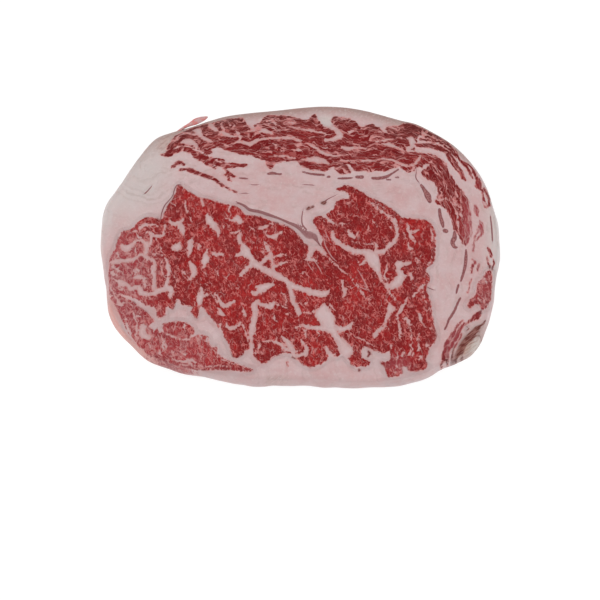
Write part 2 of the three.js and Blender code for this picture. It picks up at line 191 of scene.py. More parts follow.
# Veins and pools of fat in the left part of the eye.
LEFT_VEINS = [
    [(-78.5, 6.3, 0.9), (-75.5, 7.7, 1), (-73, 7.3, 0.7), (-69, 6.8, 0.5)],
    [(-82.5, 4.5, 0.5), (-80.3, 4.5, 0.6)],
    [(-75.2, 3.7, 0.8), (-73, 3.2, 0.9), (-71, 2, 0.8), (-67.3, 2.4, 0.7), (-66.7, 5, 0.8),
     (-66.7, 7.3, 0.5)],
    [(-87.5, -3, 0.9), (-85, -4.3, 1.9), (-82.5, -2.5, 1.1), (-80.5, -0.6, 0.9), (-78, -0.5, 0.9),
     (-75.5, -2.3, 1.4), (-75.5, -5, 1.4), (-76.3, -7.5, 1)],
    [(-74, -3, 1.1), (-73.2, 1.3, 0.8), (-74.5, 3.5, 0.6)],
    [(-93, -11, 1), (-90.3, -10.7, 1.4), (-86, -10.5, 1.1), (-82, -10.2, 1.1), (-79.5, -8.5, 0.7),
     (-77.6, -7.4, 1), (-75, -9, 1.1), (-72, -10.5, 1), (-71.3, -13, 1.1), (-72.3, -15.7, 1.2),
     (-71.5, -18.5, 1.1), (-71.5, -22, 1.1), (-71, -25.5, 1.2)],
    [(-89.3, -6.7, 0.8), (-89, -8.5, 0.5)],
    [(-91.3, -17.3, 0.7), (-89.7, -17.7, 0.5)],
    [(-90, -20, 0.7), (-88, -21.5, 1.6), (-84.8, -22.8, 1.1), (-82, -24.5, 1.2), (-79, -23.5, 1.1),
     (-77.5, -26.3, 1.4), (-74, -27.5, 1.3), (-71.5, -27, 1.2), (-69, -25.5, 1.8)],
    [(-80.7, -18.5, 0.9), (-78, -18.8, 1.2), (-76.2, -20, 0.9), (-75.7, -24, 0.8)],
    [(-66, -9, 0.5), (-64.7, -12.5, 1.1), (-64, -16, 1), (-64.5, -19, 0.8), (-65, -23.5, 1.5),
     (-63, -25, 1.5), (-63.3, -28.5, 1.1)],
    [(-69.5, -26, 1.2), (-66.5, -25, 1.6)],
    [(-61.5, -4, 1.6), (-60, -3.5, 2.3), (-59.3, -1.5, 1)],
    [(-53.7, 0, 1.2), (-53.9, -3, 1.6), (-54.4, -6, 1.1), (-54.7, -8.3, 0.4)],
    [(-54, -11, 0.8), (-52.8, -13, 1.5), (-52, -17, 1.5), (-54.5, -20, 0.8)],
    [(-46.8, -6, 0.5), (-46.5, -8, 1.3), (-46.5, -10.3, 2.3), (-47, -12.5, 1.2), (-47.7, -14, 0.4)],
    [(-43.3, -6.3, 0.8), (-41, -7, 1.1), (-38.5, -7.3, 0.8), (-36.5, -7.8, 0.5)],
    [(-48.2, -23.8, 0.7), (-48.2, -26.5, 1.5), (-49, -29.5, 2), (-49, -31.5, 1.3)],
    [(-49, -28.5, 1.2), (-45.3, -27.5, 0.8)],
    [(-60, 8, 1.1), (-58.3, 6, 1.7), (-57.7, 4, 1.5), (-57.3, 2.3, 0.6)],
    [(-64.5, 9.5, 0.8), (-62, 7.8, 1.3), (-59.5, 8.7, 1.3), (-57.8, 10.3, 0.9)],
    [(-56.8, 20, 0.3), (-56.6, 16.5, 0.6), (-55.5, 14, 0.5)],
    [(-45.5, 12.5, 0.9), (-44.7, 9.8, 2.2), (-42, 7, 1.7), (-40.2, 4.5, 1.1), (-40.3, 1.7, 0.4)],
    [(-92, -25, 0.4), (-90, -29, 0.4), (-87.5, -32.3, 1.1), (-85.7, -31.5, 0.5)],
    [(-68.5, -4, 0.4), (-67.5, -8, 0.4), (-68, -13, 0.5), (-67, -17, 0.4)],
    [(-54.3, 13.5, 0.3), (-53.7, 11, 0.5), (-53, 8.5, 0.3)],
    [(-49, 20, 0.6), (-47.8, 17.5, 0.6)],
    [(-49.8, -2, 0.4), (-49.6, -5.5, 0.5)],
    [(-45.3, -4.5, 0.5), (-45.8, -6.5, 0.9)],
    [(-37.5, 6.6, 0.5), (-37.3, 5.8, 0.4)],
    [(-34.5, 7, 0.3), (-34.3, 6, 0.5)],
    [(-57, -16, 0.6), (-56.3, -17.3, 0.4)],
    [(-61.3, -18, 0.3), (-61.3, -20, 0.5)],
    [(-46.3, -22, 0.3), (-45, -23.3, 0.4), (-46, -25, 0.3)],
    [(-49, -19, 0.3), (-47.3, -21, 0.35)],
    [(-47, -15.3, 0.3), (-46.3, -17.3, 0.3)],
    [(-41, -15, 0.3), (-40, -17.5, 0.4)],
    [(-37.5, -18, 0.3), (-35.5, -19.5, 0.4), (-34.7, -17, 0.3)],
    [(-43.5, -26.5, 0.3), (-42, -29, 0.4), (-40.5, -31, 0.4)],
]

# The same in its middle, from the top down.
MIDDLE_VEINS = [
    [(-38, 12, 0.3), (-35.5, 10.7, 0.5), (-33, 10, 0.8), (-31, 10.8, 1.9), (-29.5, 9.3, 1.5)],
    [(-33.5, 19, 0.4), (-35, 15, 0.5), (-34.5, 12.5, 0.3)],
    [(-34.8, 3.3, 0.3), (-32.5, 3.6, 0.5), (-29.6, 4.3, 0.7), (-30, 1.5, 1.1), (-29.3, -1.5, 1)],
    [(-26.5, 6, 0.3), (-24.5, 6.2, 0.4), (-22.8, 5.2, 0.4), (-22.3, 3, 0.3)],
    [(-28, 2.3, 0.3), (-26.3, 0.6, 0.4)],
    [(-20, 6, 0.8), (-17.8, 6.5, 1), (-15.5, 7.8, 0.6), (-13, 8, 0.4)],
    [(-16.5, 4.5, 0.4), (-15.3, 2, 0.8), (-12.8, 1.4, 1), (-10, 3, 0.8), (-8.7, 4.7, 0.4)],
    [(-11, 8.7, 0.3), (-9, 7.8, 0.5), (-7.2, 6.5, 0.3)],
    [(-28, -2.5, 1.2), (-27, -6, 2.8), (-24.5, -8.7, 1.7), (-22, -12, 2), (-18, -14.5, 1.5),
     (-13, -17, 1.9), (-8, -19.5, 1.6), (-4.5, -22.5, 1.9), (0, -24, 1.6), (5, -25.8, 1.8), (9, -27, 1.9),
     (12.5, -26.6, 1.6), (14.3, -25.5, 0.6)],
    [(-31.8, -8.3, 0.7), (-29.5, -7, 1.3)],
    [(-23.5, -12.5, 1.4), (-26, -14.5, 1.2), (-28.5, -17.5, 1), (-29.5, -18.6, 0.5)],
    [(-19.5, -12.5, 0.8), (-17.3, -10, 1.2), (-15, -9, 1.2), (-13.7, -11, 0.9), (-12.8, -13.5, 1),
     (-13.5, -15.5, 0.7)],
    [(-12.5, -13.2, 0.8), (-9, -12, 0.8), (-6, -11.1, 0.4)],
    [(-17.3, -1.3, 0.6), (-16, -4, 0.9), (-14.6, -6.3, 1), (-14, -9, 0.7)],
    [(-13.5, -9, 0.5), (-11, -8.3, 0.7), (-8, -7.3, 0.8), (-6.7, -7.8, 0.4)],
    [(-21, -4, 0.3), (-18.5, -4.5, 0.6), (-17.5, -7, 0.4)],
    [(-5, -23.5, 1), (-3.7, -27, 1.4), (-3.5, -30, 1.2), (-2.3, -33, 1.2), (-0.5, -36, 1.3), (0, -37.5, 0.7)],
    [(-0.5, -31.5, 0.5), (2.5, -32, 0.5), (4.5, -31, 0.3)],
    [(2, -36, 0.3), (5.5, -36.3, 0.5), (7.5, -35.5, 0.8)],
    [(-21, -24, 0.9), (-18.3, -24, 2), (-15.3, -23, 1.5), (-12.7, -22.4, 0.6)],
    [(-18.5, -25.5, 1.5), (-21.5, -27, 1.2), (-24, -26, 0.7)],
    [(4.5, -9, 1.5), (5.3, -6, 1.6), (6.2, -3.3, 1.8), (4.5, -1, 1.3)],
    [(3.5, -9.5, 1.1), (6, -9.7, 1.1), (8, -10.3, 0.6), (9.3, -12, 0.3)],
    [(7, -1.5, 1.2), (9.5, -4, 1.6), (11.5, -6.3, 1.2), (13.5, -8.8, 0.7), (16, -11, 0.5),
     (19, -13.5, 0.45), (22, -16.3, 0.4), (24.3, -17.7, 0.35), (27.3, -22, 0.6), (30.3, -26, 0.7),
     (32.8, -29.5, 0.5), (34.7, -32.5, 0.3)],
    [(-20, -30.5, 0.7), (-22, -32.5, 1.6), (-21.6, -36.5, 1.5), (-22.6, -41, 1.7), (-23.5, -46, 1.8),
     (-23.8, -50, 0.9), (-23.4, -53, 1.2), (-25, -58, 2)],
    [(-21, -31.5, 1.2), (-18, -33, 1.1), (-14.3, -33, 1.6), (-12.5, -31.6, 1), (-10, -32.6, 0.5),
     (-6.5, -33.9, 0.4)],
    [(-38.5, -28, 0.8), (-40, -30.3, 0.6), (-38, -31.8, 1.2), (-36, -33.2, 1.2), (-34, -31.8, 1),
     (-32.3, -30.8, 0.9)],
    [(-41.5, -26.8, 0.5), (-39.8, -29, 0.9), (-38.7, -32, 1.1)],
    [(-40, -34, 0.6), (-39, -36, 1.2), (-37.3, -37.7, 0.7)],
    [(-36, -41, 0.4), (-35, -43.5, 0.8), (-32, -44, 1), (-30, -42.5, 0.7), (-28.7, -41, 0.4)],
    [(-39, -42, 0.7), (-38.3, -45, 0.6), (-37, -47.5, 0.5)],
    [(-27.5, -33.3, 0.4), (-27.5, -36, 0.8), (-26.3, -38.3, 0.5)],
    [(-28.3, -41, 0.4), (-27, -44, 0.5), (-26, -47, 0.5), (-25, -50, 0.6)],
    [(-17.5, -50.5, 0.5), (-12, -50.5, 0.8), (-9, -52, 1), (-7, -54, 1.2), (-5, -55, 1)],
    [(-8.7, -48, 0.6), (-6.3, -50.5, 1.2), (-4.3, -53, 1.6), (-3, -55.5, 1.2)],
    [(-20.5, -50.5, 0.5), (-19.5, -52, 0.6), (-20, -54.5, 0.5)],
    [(11.8, -32.5, 1), (11.8, -34.5, 2.8), (11.6, -37, 4.2), (13.4, -40, 3.9), (15, -43.5, 3.2),
     (17.3, -47.5, 1.8), (19.5, -50.5, 2.2), (22.5, -55, 3.6)],
    [(14, -43, 2.2), (9, -44, 1.6), (5, -43.3, 1.1), (1, -42.8, 1), (-2.5, -43.8, 0.5)],
    [(17, -44.3, 1.8), (21, -44.7, 1.5), (24, -43.3, 1.4), (25.7, -41, 0.5)],
    [(2.5, -45, 0.8), (2.8, -47, 0.6), (3.2, -48.3, 0.3)],
    [(12.4, -52.3, 0.5), (13.3, -54.8, 0.9), (14.8, -57.3, 1.3), (15.7, -60, 2)],
    [(0.8, -50, 0.7), (2.5, -52.7, 1), (3.1, -55.3, 1.3), (1.5, -57, 1.2), (-1.5, -57.5, 1.2),
     (-4, -57.7, 1.3)],
    [(9.5, -48.5, 0.2), (9.2, -46.3, 0.7)],
    [(20.7, -20.5, 0.6), (21, -24, 0.6), (21.9, -26, 1.1), (21.3, -28.7, 0.5)],
    [(22, -25.3, 0.6), (24, -24, 0.5), (26, -24, 0.3)],
    [(13, -31, 0.3), (15.5, -33.3, 0.5), (17, -35, 0.4)],
    [(-10, -26.5, 0.2), (-8, -27, 0.4), (-6.8, -30, 0.4), (-7, -33, 0.4)],
    [(-13, -37.5, 0.3), (-12.3, -39, 0.7), (-11.3, -40.5, 0.4)],
    [(-6.8, -37.2, 0.3), (-5.5, -37.4, 0.4)],
    [(-4.7, -36.3, 0.3), (-4, -36.8, 0.3)],
    [(0, -16.7, 0.5), (2.5, -16.3, 0.4)],
]

# The same in its right part, with the lobe above it.
RIGHT_VEINS = [
    [(11, 13.2, 1.2), (13, 11.5, 0.8), (14.8, 9.5, 1.3), (17, 8.3, 0.9)],
    [(20.3, 8, 0.9), (22.3, 8.1, 0.9)],
    [(24.2, 4.3, 1), (25.5, 2.2, 1.3), (27.3, 1.7, 0.7), (28.8, 3.7, 0.3)],
    [(16.2, 3.8, 0.9), (16.8, 1, 1.4), (18.8, -1.3, 1.4), (22, -3, 1.3), (26, -5.3, 1.7), (31, -6.2, 1.6),
     (35.6, -9.5, 3.4), (37.2, -13.2, 2.5), (38.6, -16.8, 1.2), (40, -20, 0.6), (41.3, -21.5, 0.9),
     (43.5, -23.2, 1.6), (46, -22.5, 2), (48.7, -20, 2.4), (49.5, -17.5, 1.8), (48.2, -15, 1.4),
     (48.5, -12.5, 2), (51.3, -12, 1.1), (54.8, -11, 0.5)],
    [(38, -6.3, 1.9), (40.3, -6.2, 1.5), (42, -5.2, 1.2), (44.3, -2.5, 1.2), (46.3, -0.7, 1), (47.5, 1, 1),
     (47.9, 3.5, 1), (47.7, 6.7, 1), (46.8, 10, 1.1), (44.5, 11.9, 0.6)],
    [(29.5, -12.5, 0.4), (31, -11.5, 0.8), (33, -10.5, 1)],
    [(46.5, -22.5, 1.3), (47.6, -24.8, 0.5)],
    [(50, -18.5, 1.2), (52.5, -18.3, 0.5)],
    [(43.3, -12, 0.35), (42.5, -15.3, 0.5), (41.3, -17.7, 0.5), (42, -20.3, 0.7)],
    [(43.5, -24, 0.9), (43.9, -26, 0.5), (45.3, -28.3, 0.6), (46.8, -29.7, 0.5)],
    [(54.2, -17, 0.6), (54.8, -19.5, 0.9), (54.8, -21, 0.3)],
    [(53, 8.3, 0.5), (53.6, 5.5, 0.9), (54.6, 3, 1), (56, 0, 0.7), (57.3, -1.8, 0.4)],
    [(54.5, 4.2, 0.9), (57, 4.3, 0.7), (58.8, 4.8, 0.4)],
    [(53.5, -1.5, 0.4), (53.7, -3.3, 0.8), (55.3, -5, 0.6)],
    [(50.8, 5, 0.2), (51.8, 2, 0.3), (53, 0, 0.3)],
    [(64.5, 5.5, 0.4), (65.3, 2.5, 0.5), (65, -1, 0.4)],
    [(65, -8, 0.3), (64, -10.5, 0.5), (62.7, -12, 0.4)],
    [(56.5, -7.5, 0.3), (57.3, -10, 0.4)],
    [(60, -8, 0.4), (58.3, -10.5, 0.5), (57, -12, 0.3)],
    [(34, 19.3, 0.4), (37, 17.3, 0.7), (39.8, 15, 0.8), (42.5, 13, 0.8), (45, 11.5, 1), (46.5, 9.5, 1)],
    [(36.3, 19.3, 0.2), (40.3, 17.2, 0.3), (43, 15.3, 0.2)],
    [(34.5, 10.5, 0.4), (36.3, 9.5, 0.5), (37.4, 8, 0.6), (38.3, 6.5, 0.3)],
    [(33, 8, 0.3), (34.2, 6.2, 0.4), (33.3, 4.7, 0.3)],
    [(46.5, 5.6, 0.5), (44.5, 6.3, 0.4)],
    [(25.5, -0.3, 0.2), (29, -1.5, 0.3), (33, -2.3, 0.3), (37, -2, 0.3)],
    [(35.5, -1, 0.4), (37.2, -2.5, 0.6), (38, -4.5, 0.7)],
    [(43.8, -31.5, 0.6), (44.2, -34.3, 1.9), (42.8, -37.3, 1), (42, -40.3, 0.9), (41.2, -43.2, 0.9),
     (39, -44.7, 1.1), (36.8, -47, 1.2), (36.6, -48.5, 0.8)],
    [(46.3, -33, 0.4), (47, -36, 0.5), (47.8, -40, 0.6), (48.7, -44.5, 0.7), (49, -48.5, 0.6)],
    [(52, -29, 0.5), (51, -32, 0.7), (49.3, -34.8, 1.2), (48, -36.5, 0.6)],
    [(51, -39, 0.8), (53, -41, 1), (54.2, -42.3, 0.5)],
    [(58.3, -37, 0.9), (58.8, -39.5, 1), (60, -42, 0.5), (61.5, -43.3, 0.3)],
    [(62, -20.5, 0.3), (60.5, -22.3, 0.6), (59.3, -24, 0.8), (57.5, -25.5, 0.5), (55.8, -27.3, 0.8),
     (55.2, -28.5, 0.4)],
    [(60.3, -25, 0.3), (61, -29, 0.35), (62.5, -33, 0.35), (64, -37.5, 0.3)],
    [(44.6, -52.7, 0.8), (44.5, -54, 0.4)],
    [(54, -43.5, 0.3), (54.2, -46.5, 0.5), (53.8, -50, 0.4)],
    [(57.5, -44, 0.3), (58, -47, 0.4), (57, -50, 0.4)],
    [(53.7, -52, 0.5), (54.5, -55, 0.7), (53, -57, 0.5)],
    [(50.3, -54.5, 0.4), (50.5, -56.5, 0.8), (49.5, -58, 0.5)],
    [(57.7, -51.8, 0.4), (58.3, -53.5, 0.8), (57.5, -55, 0.5)],
    [(61.5, -50.5, 0.6), (62, -52.5, 0.9)],
    [(58, -56.5, 0.4), (58.8, -58, 0.9), (58, -59.5, 0.5)],
    [(54.8, -55.5, 0.3), (55, -57, 0.6)],
    [(46.5, -54.5, 0.4), (47.5, -57, 0.5), (46.8, -59.5, 0.4)],
    [(47.7, -62, 0.6), (46, -64.3, 0.5), (46.7, -66, 0.4)],
    [(26.8, -47.7, 0.3), (28.5, -49, 0.5), (31, -50, 0.4), (33.5, -51.7, 0.4), (36, -53, 0.3)],
    [(27.5, -52, 0.2), (28, -56, 0.3)],
    [(32.7, -38, 0.3), (34.7, -39.5, 0.3)],
]

# The same in the cap, where they follow the band.
CAP_VEINS = [
    [(-27, 63, 1), (-25.5, 60, 1.5), (-23.5, 57.5, 1.2)],
    [(-45, 59.3, 1.2), (-43.3, 57.5, 1.4), (-41.3, 55.7, 0.8)],
    [(-39.8, 59.8, 0.4), (-38.8, 57.6, 0.7), (-37.8, 56.3, 0.6)],
    [(-36, 60.3, 0.35), (-34.8, 58.8, 0.5), (-35, 57.7, 0.3)],
    [(-31.5, 59.5, 0.35), (-33.3, 57.4, 0.4)],
    [(-40, 55.2, 0.6), (-37, 54.2, 1.1), (-34, 53.2, 0.9), (-31.5, 52.6, 0.6)],
    [(-32.5, 55.3, 0.4), (-30.7, 54.2, 0.8), (-29.7, 52, 0.8), (-30, 50.5, 0.4)],
    [(-53.5, 56.3, 0.6), (-51, 55.5, 1.8), (-49.5, 53.5, 1.3), (-46, 51, 1), (-43, 49.8, 0.6)],
    [(-59.3, 49.7, 0.6), (-56, 50, 1.9), (-52.5, 48.9, 1.3), (-50.5, 46.8, 0.7)],
    [(-38, 48.5, 0.4), (-33.5, 49, 0.3), (-29, 50, 0.8), (-25, 48.9, 1.3), (-22, 50.6, 1), (-15, 52, 0.8),
     (-8, 52.2, 0.9), (-3, 51.7, 0.9), (0.5, 50.3, 0.7)],
    [(-40, 50.2, 0.2), (-36, 48.2, 0.4), (-33, 46.9, 0.3)],
    [(-20.3, 55, 0.8), (-17.7, 56, 1.5), (-15, 55, 1), (-13.3, 54.5, 0.4)],
    [(-16.5, 60.8, 0.4), (-13.3, 61.5, 0.5), (-12.2, 59.5, 0.7), (-11.5, 57.7, 0.4)],
    [(-21.3, 61, 0.3), (-19.5, 59.5, 0.4)],
    [(-7, 61.5, 0.2), (-5, 60.3, 0.4), (-2, 60.2, 0.3)],
    [(-6, 57.8, 0.3), (-2, 57.3, 0.5), (2, 56.4, 0.7), (6, 55.6, 0.8), (10, 54.7, 0.7), (13.5, 53.9, 0.5)],
    [(11, 62.3, 2), (13, 60.3, 2.6), (15.5, 58, 1.6), (18.5, 55.5, 1.4), (20, 53, 1.8), (17, 51.5, 1.3),
     (13, 50.8, 1)],
    [(24.8, 55, 0.9), (27, 55.8, 0.5)],
    [(3, 49.7, 0.4), (6, 48.1, 0.9), (8.5, 46.3, 0.9), (11, 44.5, 1), (14, 43.3, 0.8), (17.5, 42.7, 0.5),
     (21, 43.3, 0.4), (25, 43.8, 0.3)],
    [(1.3, 40.8, 0.4), (4, 41, 0.9), (8, 40.6, 1.8), (12, 39.9, 1.2), (14.3, 38.7, 0.8)],
    [(-2.7, 46, 0.5), (-0.5, 45.7, 0.9), (1.5, 44.8, 0.5)],
    [(-13, 42.7, 0.4), (-10, 42.8, 0.6), (-6, 42.3, 0.6), (-2.5, 41.6, 0.5)],
    [(-18, 47, 0.2), (-12, 46.7, 0.3), (-7, 46.9, 0.25)],
    [(21, 47, 0.9), (25, 46.6, 1), (28.5, 47.3, 0.8), (33, 46.6, 0.4)],
    [(41, 49, 0.7), (44, 48.6, 1.1), (47.5, 47.4, 0.9), (50.3, 46, 0.6)],
    [(53.5, 52, 0.8), (55.7, 50.8, 2), (56, 48, 1.5), (54, 46, 1.3), (56.7, 45.3, 0.7)],
    [(35, 50.7, 0.3), (39, 50.4, 0.6), (43, 50.9, 0.6), (46.5, 51.3, 0.4)],
    [(29.5, 52.3, 0.2), (33, 53, 0.35), (37, 52.8, 0.2)],
    [(20, 40.6, 0.4), (26, 40.3, 0.5), (32, 40.4, 0.7), (38, 40.5, 0.6), (43.5, 41.3, 0.6),
     (47.5, 39.7, 0.7), (52.5, 37.7, 0.8), (57.3, 38.6, 0.8), (59, 41, 0.7), (60, 43, 0.6)],
    [(40.5, 58.3, 1.1), (42.3, 56, 0.9), (43.7, 54.6, 0.4)],
    [(44.5, 57.9, 0.4), (47.5, 57.3, 0.5), (50, 57.7, 0.3)],
    [(61, 36.3, 0.8), (62.7, 37.8, 1.3), (64.3, 38, 0.5)],
    [(61.3, 41.3, 0.2), (63, 41.7, 0.35), (64.7, 40.7, 0.25)],
    [(67, 20.7, 0.6), (69.5, 20.3, 0.6), (72, 20.7, 0.4), (74, 19.3, 0.3)],
    [(74.5, 22.5, 0.3), (76.5, 19, 0.5), (78.5, 15.5, 0.5), (80, 12, 0.6)],
    [(72, 21.7, 0.3), (75, 18.5, 0.4), (77.5, 14.5, 0.5), (78.3, 11, 0.6)],
    [(75.8, 27.5, 0.2), (77.5, 24, 0.35), (79, 20.5, 0.4), (80, 18.5, 0.3)],
    [(78, 9, 0.8), (78.5, 5, 0.5)],
    [(-62, 50.5, 0.5), (-60.5, 53, 0.4), (-57, 54.6, 0.5), (-52, 53.8, 0.5)],
]

CORNER_VEINS = [
    [(-76.3, -43.5, 1.7), (-76.7, -47, 2.1), (-73.5, -48.3, 1.3)],
    [(-72.3, -42.5, 1.5), (-69, -42.5, 1.2), (-67.7, -45, 1.4)],
    [(-65, -46.8, 0.4), (-62.5, -48, 0.4), (-58.5, -49.3, 0.4), (-54, -49.3, 0.7)],
    [(-58, -61.8, 0.25), (-50, -62.2, 0.25), (-42, -62.6, 0.2), (-34, -62.7, 0.2)],
    [(-62, -59, 0.4), (-57.5, -60.3, 0.5), (-53, -59.7, 0.8), (-50.7, -61, 0.5)],
    [(-67, -52, 0.5), (-66.5, -55, 0.6), (-68.5, -56.5, 0.5)],
    [(-58, -55.5, 0.4), (-55.7, -57, 0.6), (-54, -56, 0.3)],
    [(-40, -58, 0.25), (-36, -60.2, 0.25), (-31, -61.5, 0.2)],
    [(-81, -36, 0.4), (-80, -40, 0.5), (-79.5, -44, 0.5), (-79.7, -48, 0.5)],
    [(-85, -39, 0.4), (-84, -43, 0.8), (-82.5, -47, 0.7)],
    [(-73.5, -51.3, 0.5), (-72.5, -53.3, 0.4)],
    [(-68.2, -55.3, 0.5), (-67.5, -57, 0.4)],
    [(-54, -59.7, 0.6), (-52.3, -62.3, 0.4)],
    [(-55.5, -55.7, 0.4), (-54.8, -56.7, 0.3)],
]

# Membranes, which have gone grey, and thin dark lines.
MEMBRANES = [
    [(-30.5, 19.2, 0.4), (-27.5, 17.8, 0.6), (-25, 15.9, 0.7), (-20, 14.8, 0.7), (-15, 13, 0.7),
     (-10, 11, 0.5), (-5.5, 8.9, 0.6), (-2, 7.3, 0.8), (1, 5, 0.9), (4.3, 2.9, 2.3), (7, 2, 1.6),
     (8.7, -0.5, 0.5), (10, -2.5, 0.3)],
    [(1.5, 15, 0.2), (1, 11, 0.25), (1.3, 8, 0.3), (3, 5.7, 0.4)],
    [(12.5, 20, 0.3), (14.5, 21.3, 0.2), (18, 23, 0.1)],
    [(-77, 24, 0.3), (-75.5, 25.5, 0.25), (-73.7, 27.8, 0.2)],
    [(-68.8, 10.5, 0.2), (-68.3, 14, 0.25), (-67, 17.8, 0.25), (-65, 20.3, 0.2), (-63.2, 22.7, 0.2),
     (-62.3, 26, 0.25), (-61.2, 28, 0.25), (-60, 28.4, 0.2)],
    [(63, -23.5, 0.2), (65.3, -24.4, 0.2)],
    [(58, 35, 0.15), (57.7, 32, 0.25), (59, 29.7, 0.2)],
    [(2, 28.6, 0.15), (6.7, 28.3, 0.2)],
    [(-24, 28.4, 0.15), (-21, 28.3, 0.2)],
    [(-29, 24, 0.15), (-26.3, 24.2, 0.2)],
    [(94.3, 12, 0.3), (94.8, 6, 0.35), (95, 0, 0.3)],
]

# Hairline fat, too thin to be a vein.
HAIRLINES = [
    [(11.8, 1, 0.3), (12.5, -2.5, 0.3), (14.3, -6, 0.3), (15.8, -8.5, 0.3), (17.3, -10, 0.25)],
    [(12.7, 4, 0.25), (14, 1, 0.25)],
    [(7.5, -11, 0.25), (9.5, -14, 0.3), (10.5, -16, 0.2)],
    [(4.3, -12.3, 0.2), (6, -15, 0.25)],
    [(28.7, -15.3, 0.2), (31, -19.5, 0.3), (32.5, -22.5, 0.3), (33.8, -25, 0.2)],
    [(29, -23.5, 0.2), (31, -24.3, 0.3), (33, -25.2, 0.2)],
]

# Creases of the dried corner, and three dark specks in the fat beside the eye.
CREASES = [
    [(90.7, -39.8, 0.3), (89.5, -41.6, 0.4), (87.5, -42.8, 0.5), (85.5, -43.8, 0.5), (84.2, -45.5, 0.5)],
    [(87.6, -43.6, 0.5), (85.5, -45.2, 1.2), (83, -47.8, 1.5), (80.7, -50.5, 1.5), (79, -53, 1.5),
     (77.7, -55.5, 1.2), (76.8, -57.5, 0.6), (76, -59.5, 0.5), (75.7, -61, 0.4)],
    [(87.9, -45.2, 0.25), (85.5, -46, 0.35), (83.6, -47.6, 0.3)],
    [(88.5, -47.2, 0.15), (86.3, -47.5, 0.25), (84.3, -48.6, 0.25)],
    [(84.6, -49.4, 0.2), (82.3, -50.6, 0.3), (80.8, -52.3, 0.4), (79.7, -54.7, 0.4), (79, -57, 0.3)],
    [(79.5, -57.5, 0.2), (78.2, -59.3, 0.35), (77, -60.9, 0.3)],
    [(75.3, -53, 0.2), (74.3, -56, 0.35), (73.8, -59.5, 0.35), (73.9, -61, 0.2)],
    [(76.3, -55, 0.15), (75.3, -58, 0.25), (74.8, -61, 0.2)],
    [(81.5, -42.7, 0.1), (82.5, -43.9, 0.2), (81.3, -45, 0.15)],
    [(3.7, 15.9, 0.6), (4.6, 16.5, 0.7)],
    [(6.2, 17, 0.6), (6.8, 17.3, 0.6)],
    [(10.9, 19.2, 0.6), (12, 19.1, 1), (12.8, 19.6, 0.6)],
]


def smooth(value, low, high):
    """0 up to low, 1 from high, and a smooth rise between them."""
    t = np.clip((value - low) / (high - low), 0, 1)
    return t * t * (3 - 2 * t)


def curve(points, closed=False, steps=5):
    """A centripetal Catmull-Rom curve through rows of numbers, as many more rows."""
    p = np.array(points, float)
    if closed:
        p = np.vstack([p[-1:], p, p[:2]])
    else:
        p = np.vstack([2 * p[:1] - p[1:2], p, 2 * p[-1:] - p[-2:-1]])
    a, b, c, d = (p[i:len(p) - 3 + i, None] for i in range(4))

    def gap(q, r):
        return np.maximum(np.linalg.norm(r - q, axis=-1, keepdims=True), 1e-6) ** 0.5

    ta, tb = 0.0, gap(a, b)
    tc = tb + gap(b, c)
    td = tc + gap(c, d)
    t = tb + (tc - tb) * np.linspace(0, 1, steps, endpoint=False)[:, None]

    def between(q, r, start, end):
        return (q * (end - t) + r * (t - start)) / (end - start)

    ab, bc, cd = between(a, b, ta, tb), between(b, c, tb, tc), between(c, d, tc, td)
    rows = between(between(ab, bc, ta, tc), between(bc, cd, tb, td), tb, tc)
    last = p[1:2] if closed else p[-2:-1]
    return np.vstack([rows.reshape(-1, p.shape[1]), last])


def nearest(line, x, y):
    """For each point, its distance to a line, how far along the nearest spot is, and its side."""
    best = np.full(x.shape, np.inf)
    at = np.zeros(x.shape)
    side = np.ones(x.shape)
    for i in range(len(line) - 1):
        (ax, ay), (bx, by) = line[i, :2], line[i + 1, :2]
        dx, dy = bx - ax, by - ay
        t = np.clip(((x - ax) * dx + (y - ay) * dy) / (dx * dx + dy * dy + 1e-12), 0, 1)
        ex, ey = x - ax - t * dx, y - ay - t * dy
        square = ex * ex + ey * ey
        closer = square < best
        best[closer] = square[closer]
        at[closer] = i + t[closer]
        side[closer] = np.where(dx * ey - dy * ex < 0, -1.0, 1.0)[closer]
    return np.sqrt(best), at, side


def inside(line, x, y):
    """True for each point where a ray along +X crosses the closed line an odd number of times."""
    odd = np.zeros(x.shape, bool)
    for (ax, ay), (bx, by) in zip(line[:-1, :2], line[1:, :2]):
        if ay != by:
            odd ^= ((ay > y) != (by > y)) & (x < ax + (y - ay) / (by - ay) * (bx - ax))
    return odd


def shape_depth(points, x, y):
    """How deep each point lies inside a closed shape, and below 0 outside it."""
    line = curve(points, closed=True, steps=4)
    distance = nearest(line, x, y)[0]
    return np.where(inside(line, x, y), distance, -distance)


def deepest(shapes, x, y):
    """How deep each point lies in whichever of some closed shapes is nearest."""
    return np.maximum.reduce([shape_depth(shape, x, y) for shape in shapes])


def around(line, x, y, reach):
    """True for each point within reach of the box round a line."""
    near = (x > line[:, 0].min() - reach) & (x < line[:, 0].max() + reach)
    return near & (y > line[:, 1].min() - reach) & (y < line[:, 1].max() + reach)


def band_depth(bands, x, y, reach=6.0):
    """How deep each point lies inside the nearest of some bands, down to -reach outside them."""
    depth = np.full(x.shape, -reach)
    for band in bands:
        line = curve(band)
        near = around(line, x, y, reach)
        distance, at, _ = nearest(line, x[near], y[near])
        half = np.interp(at, np.arange(len(line)), line[:, 2])
        depth[near] = np.maximum(depth[near], half - distance)
    return depth


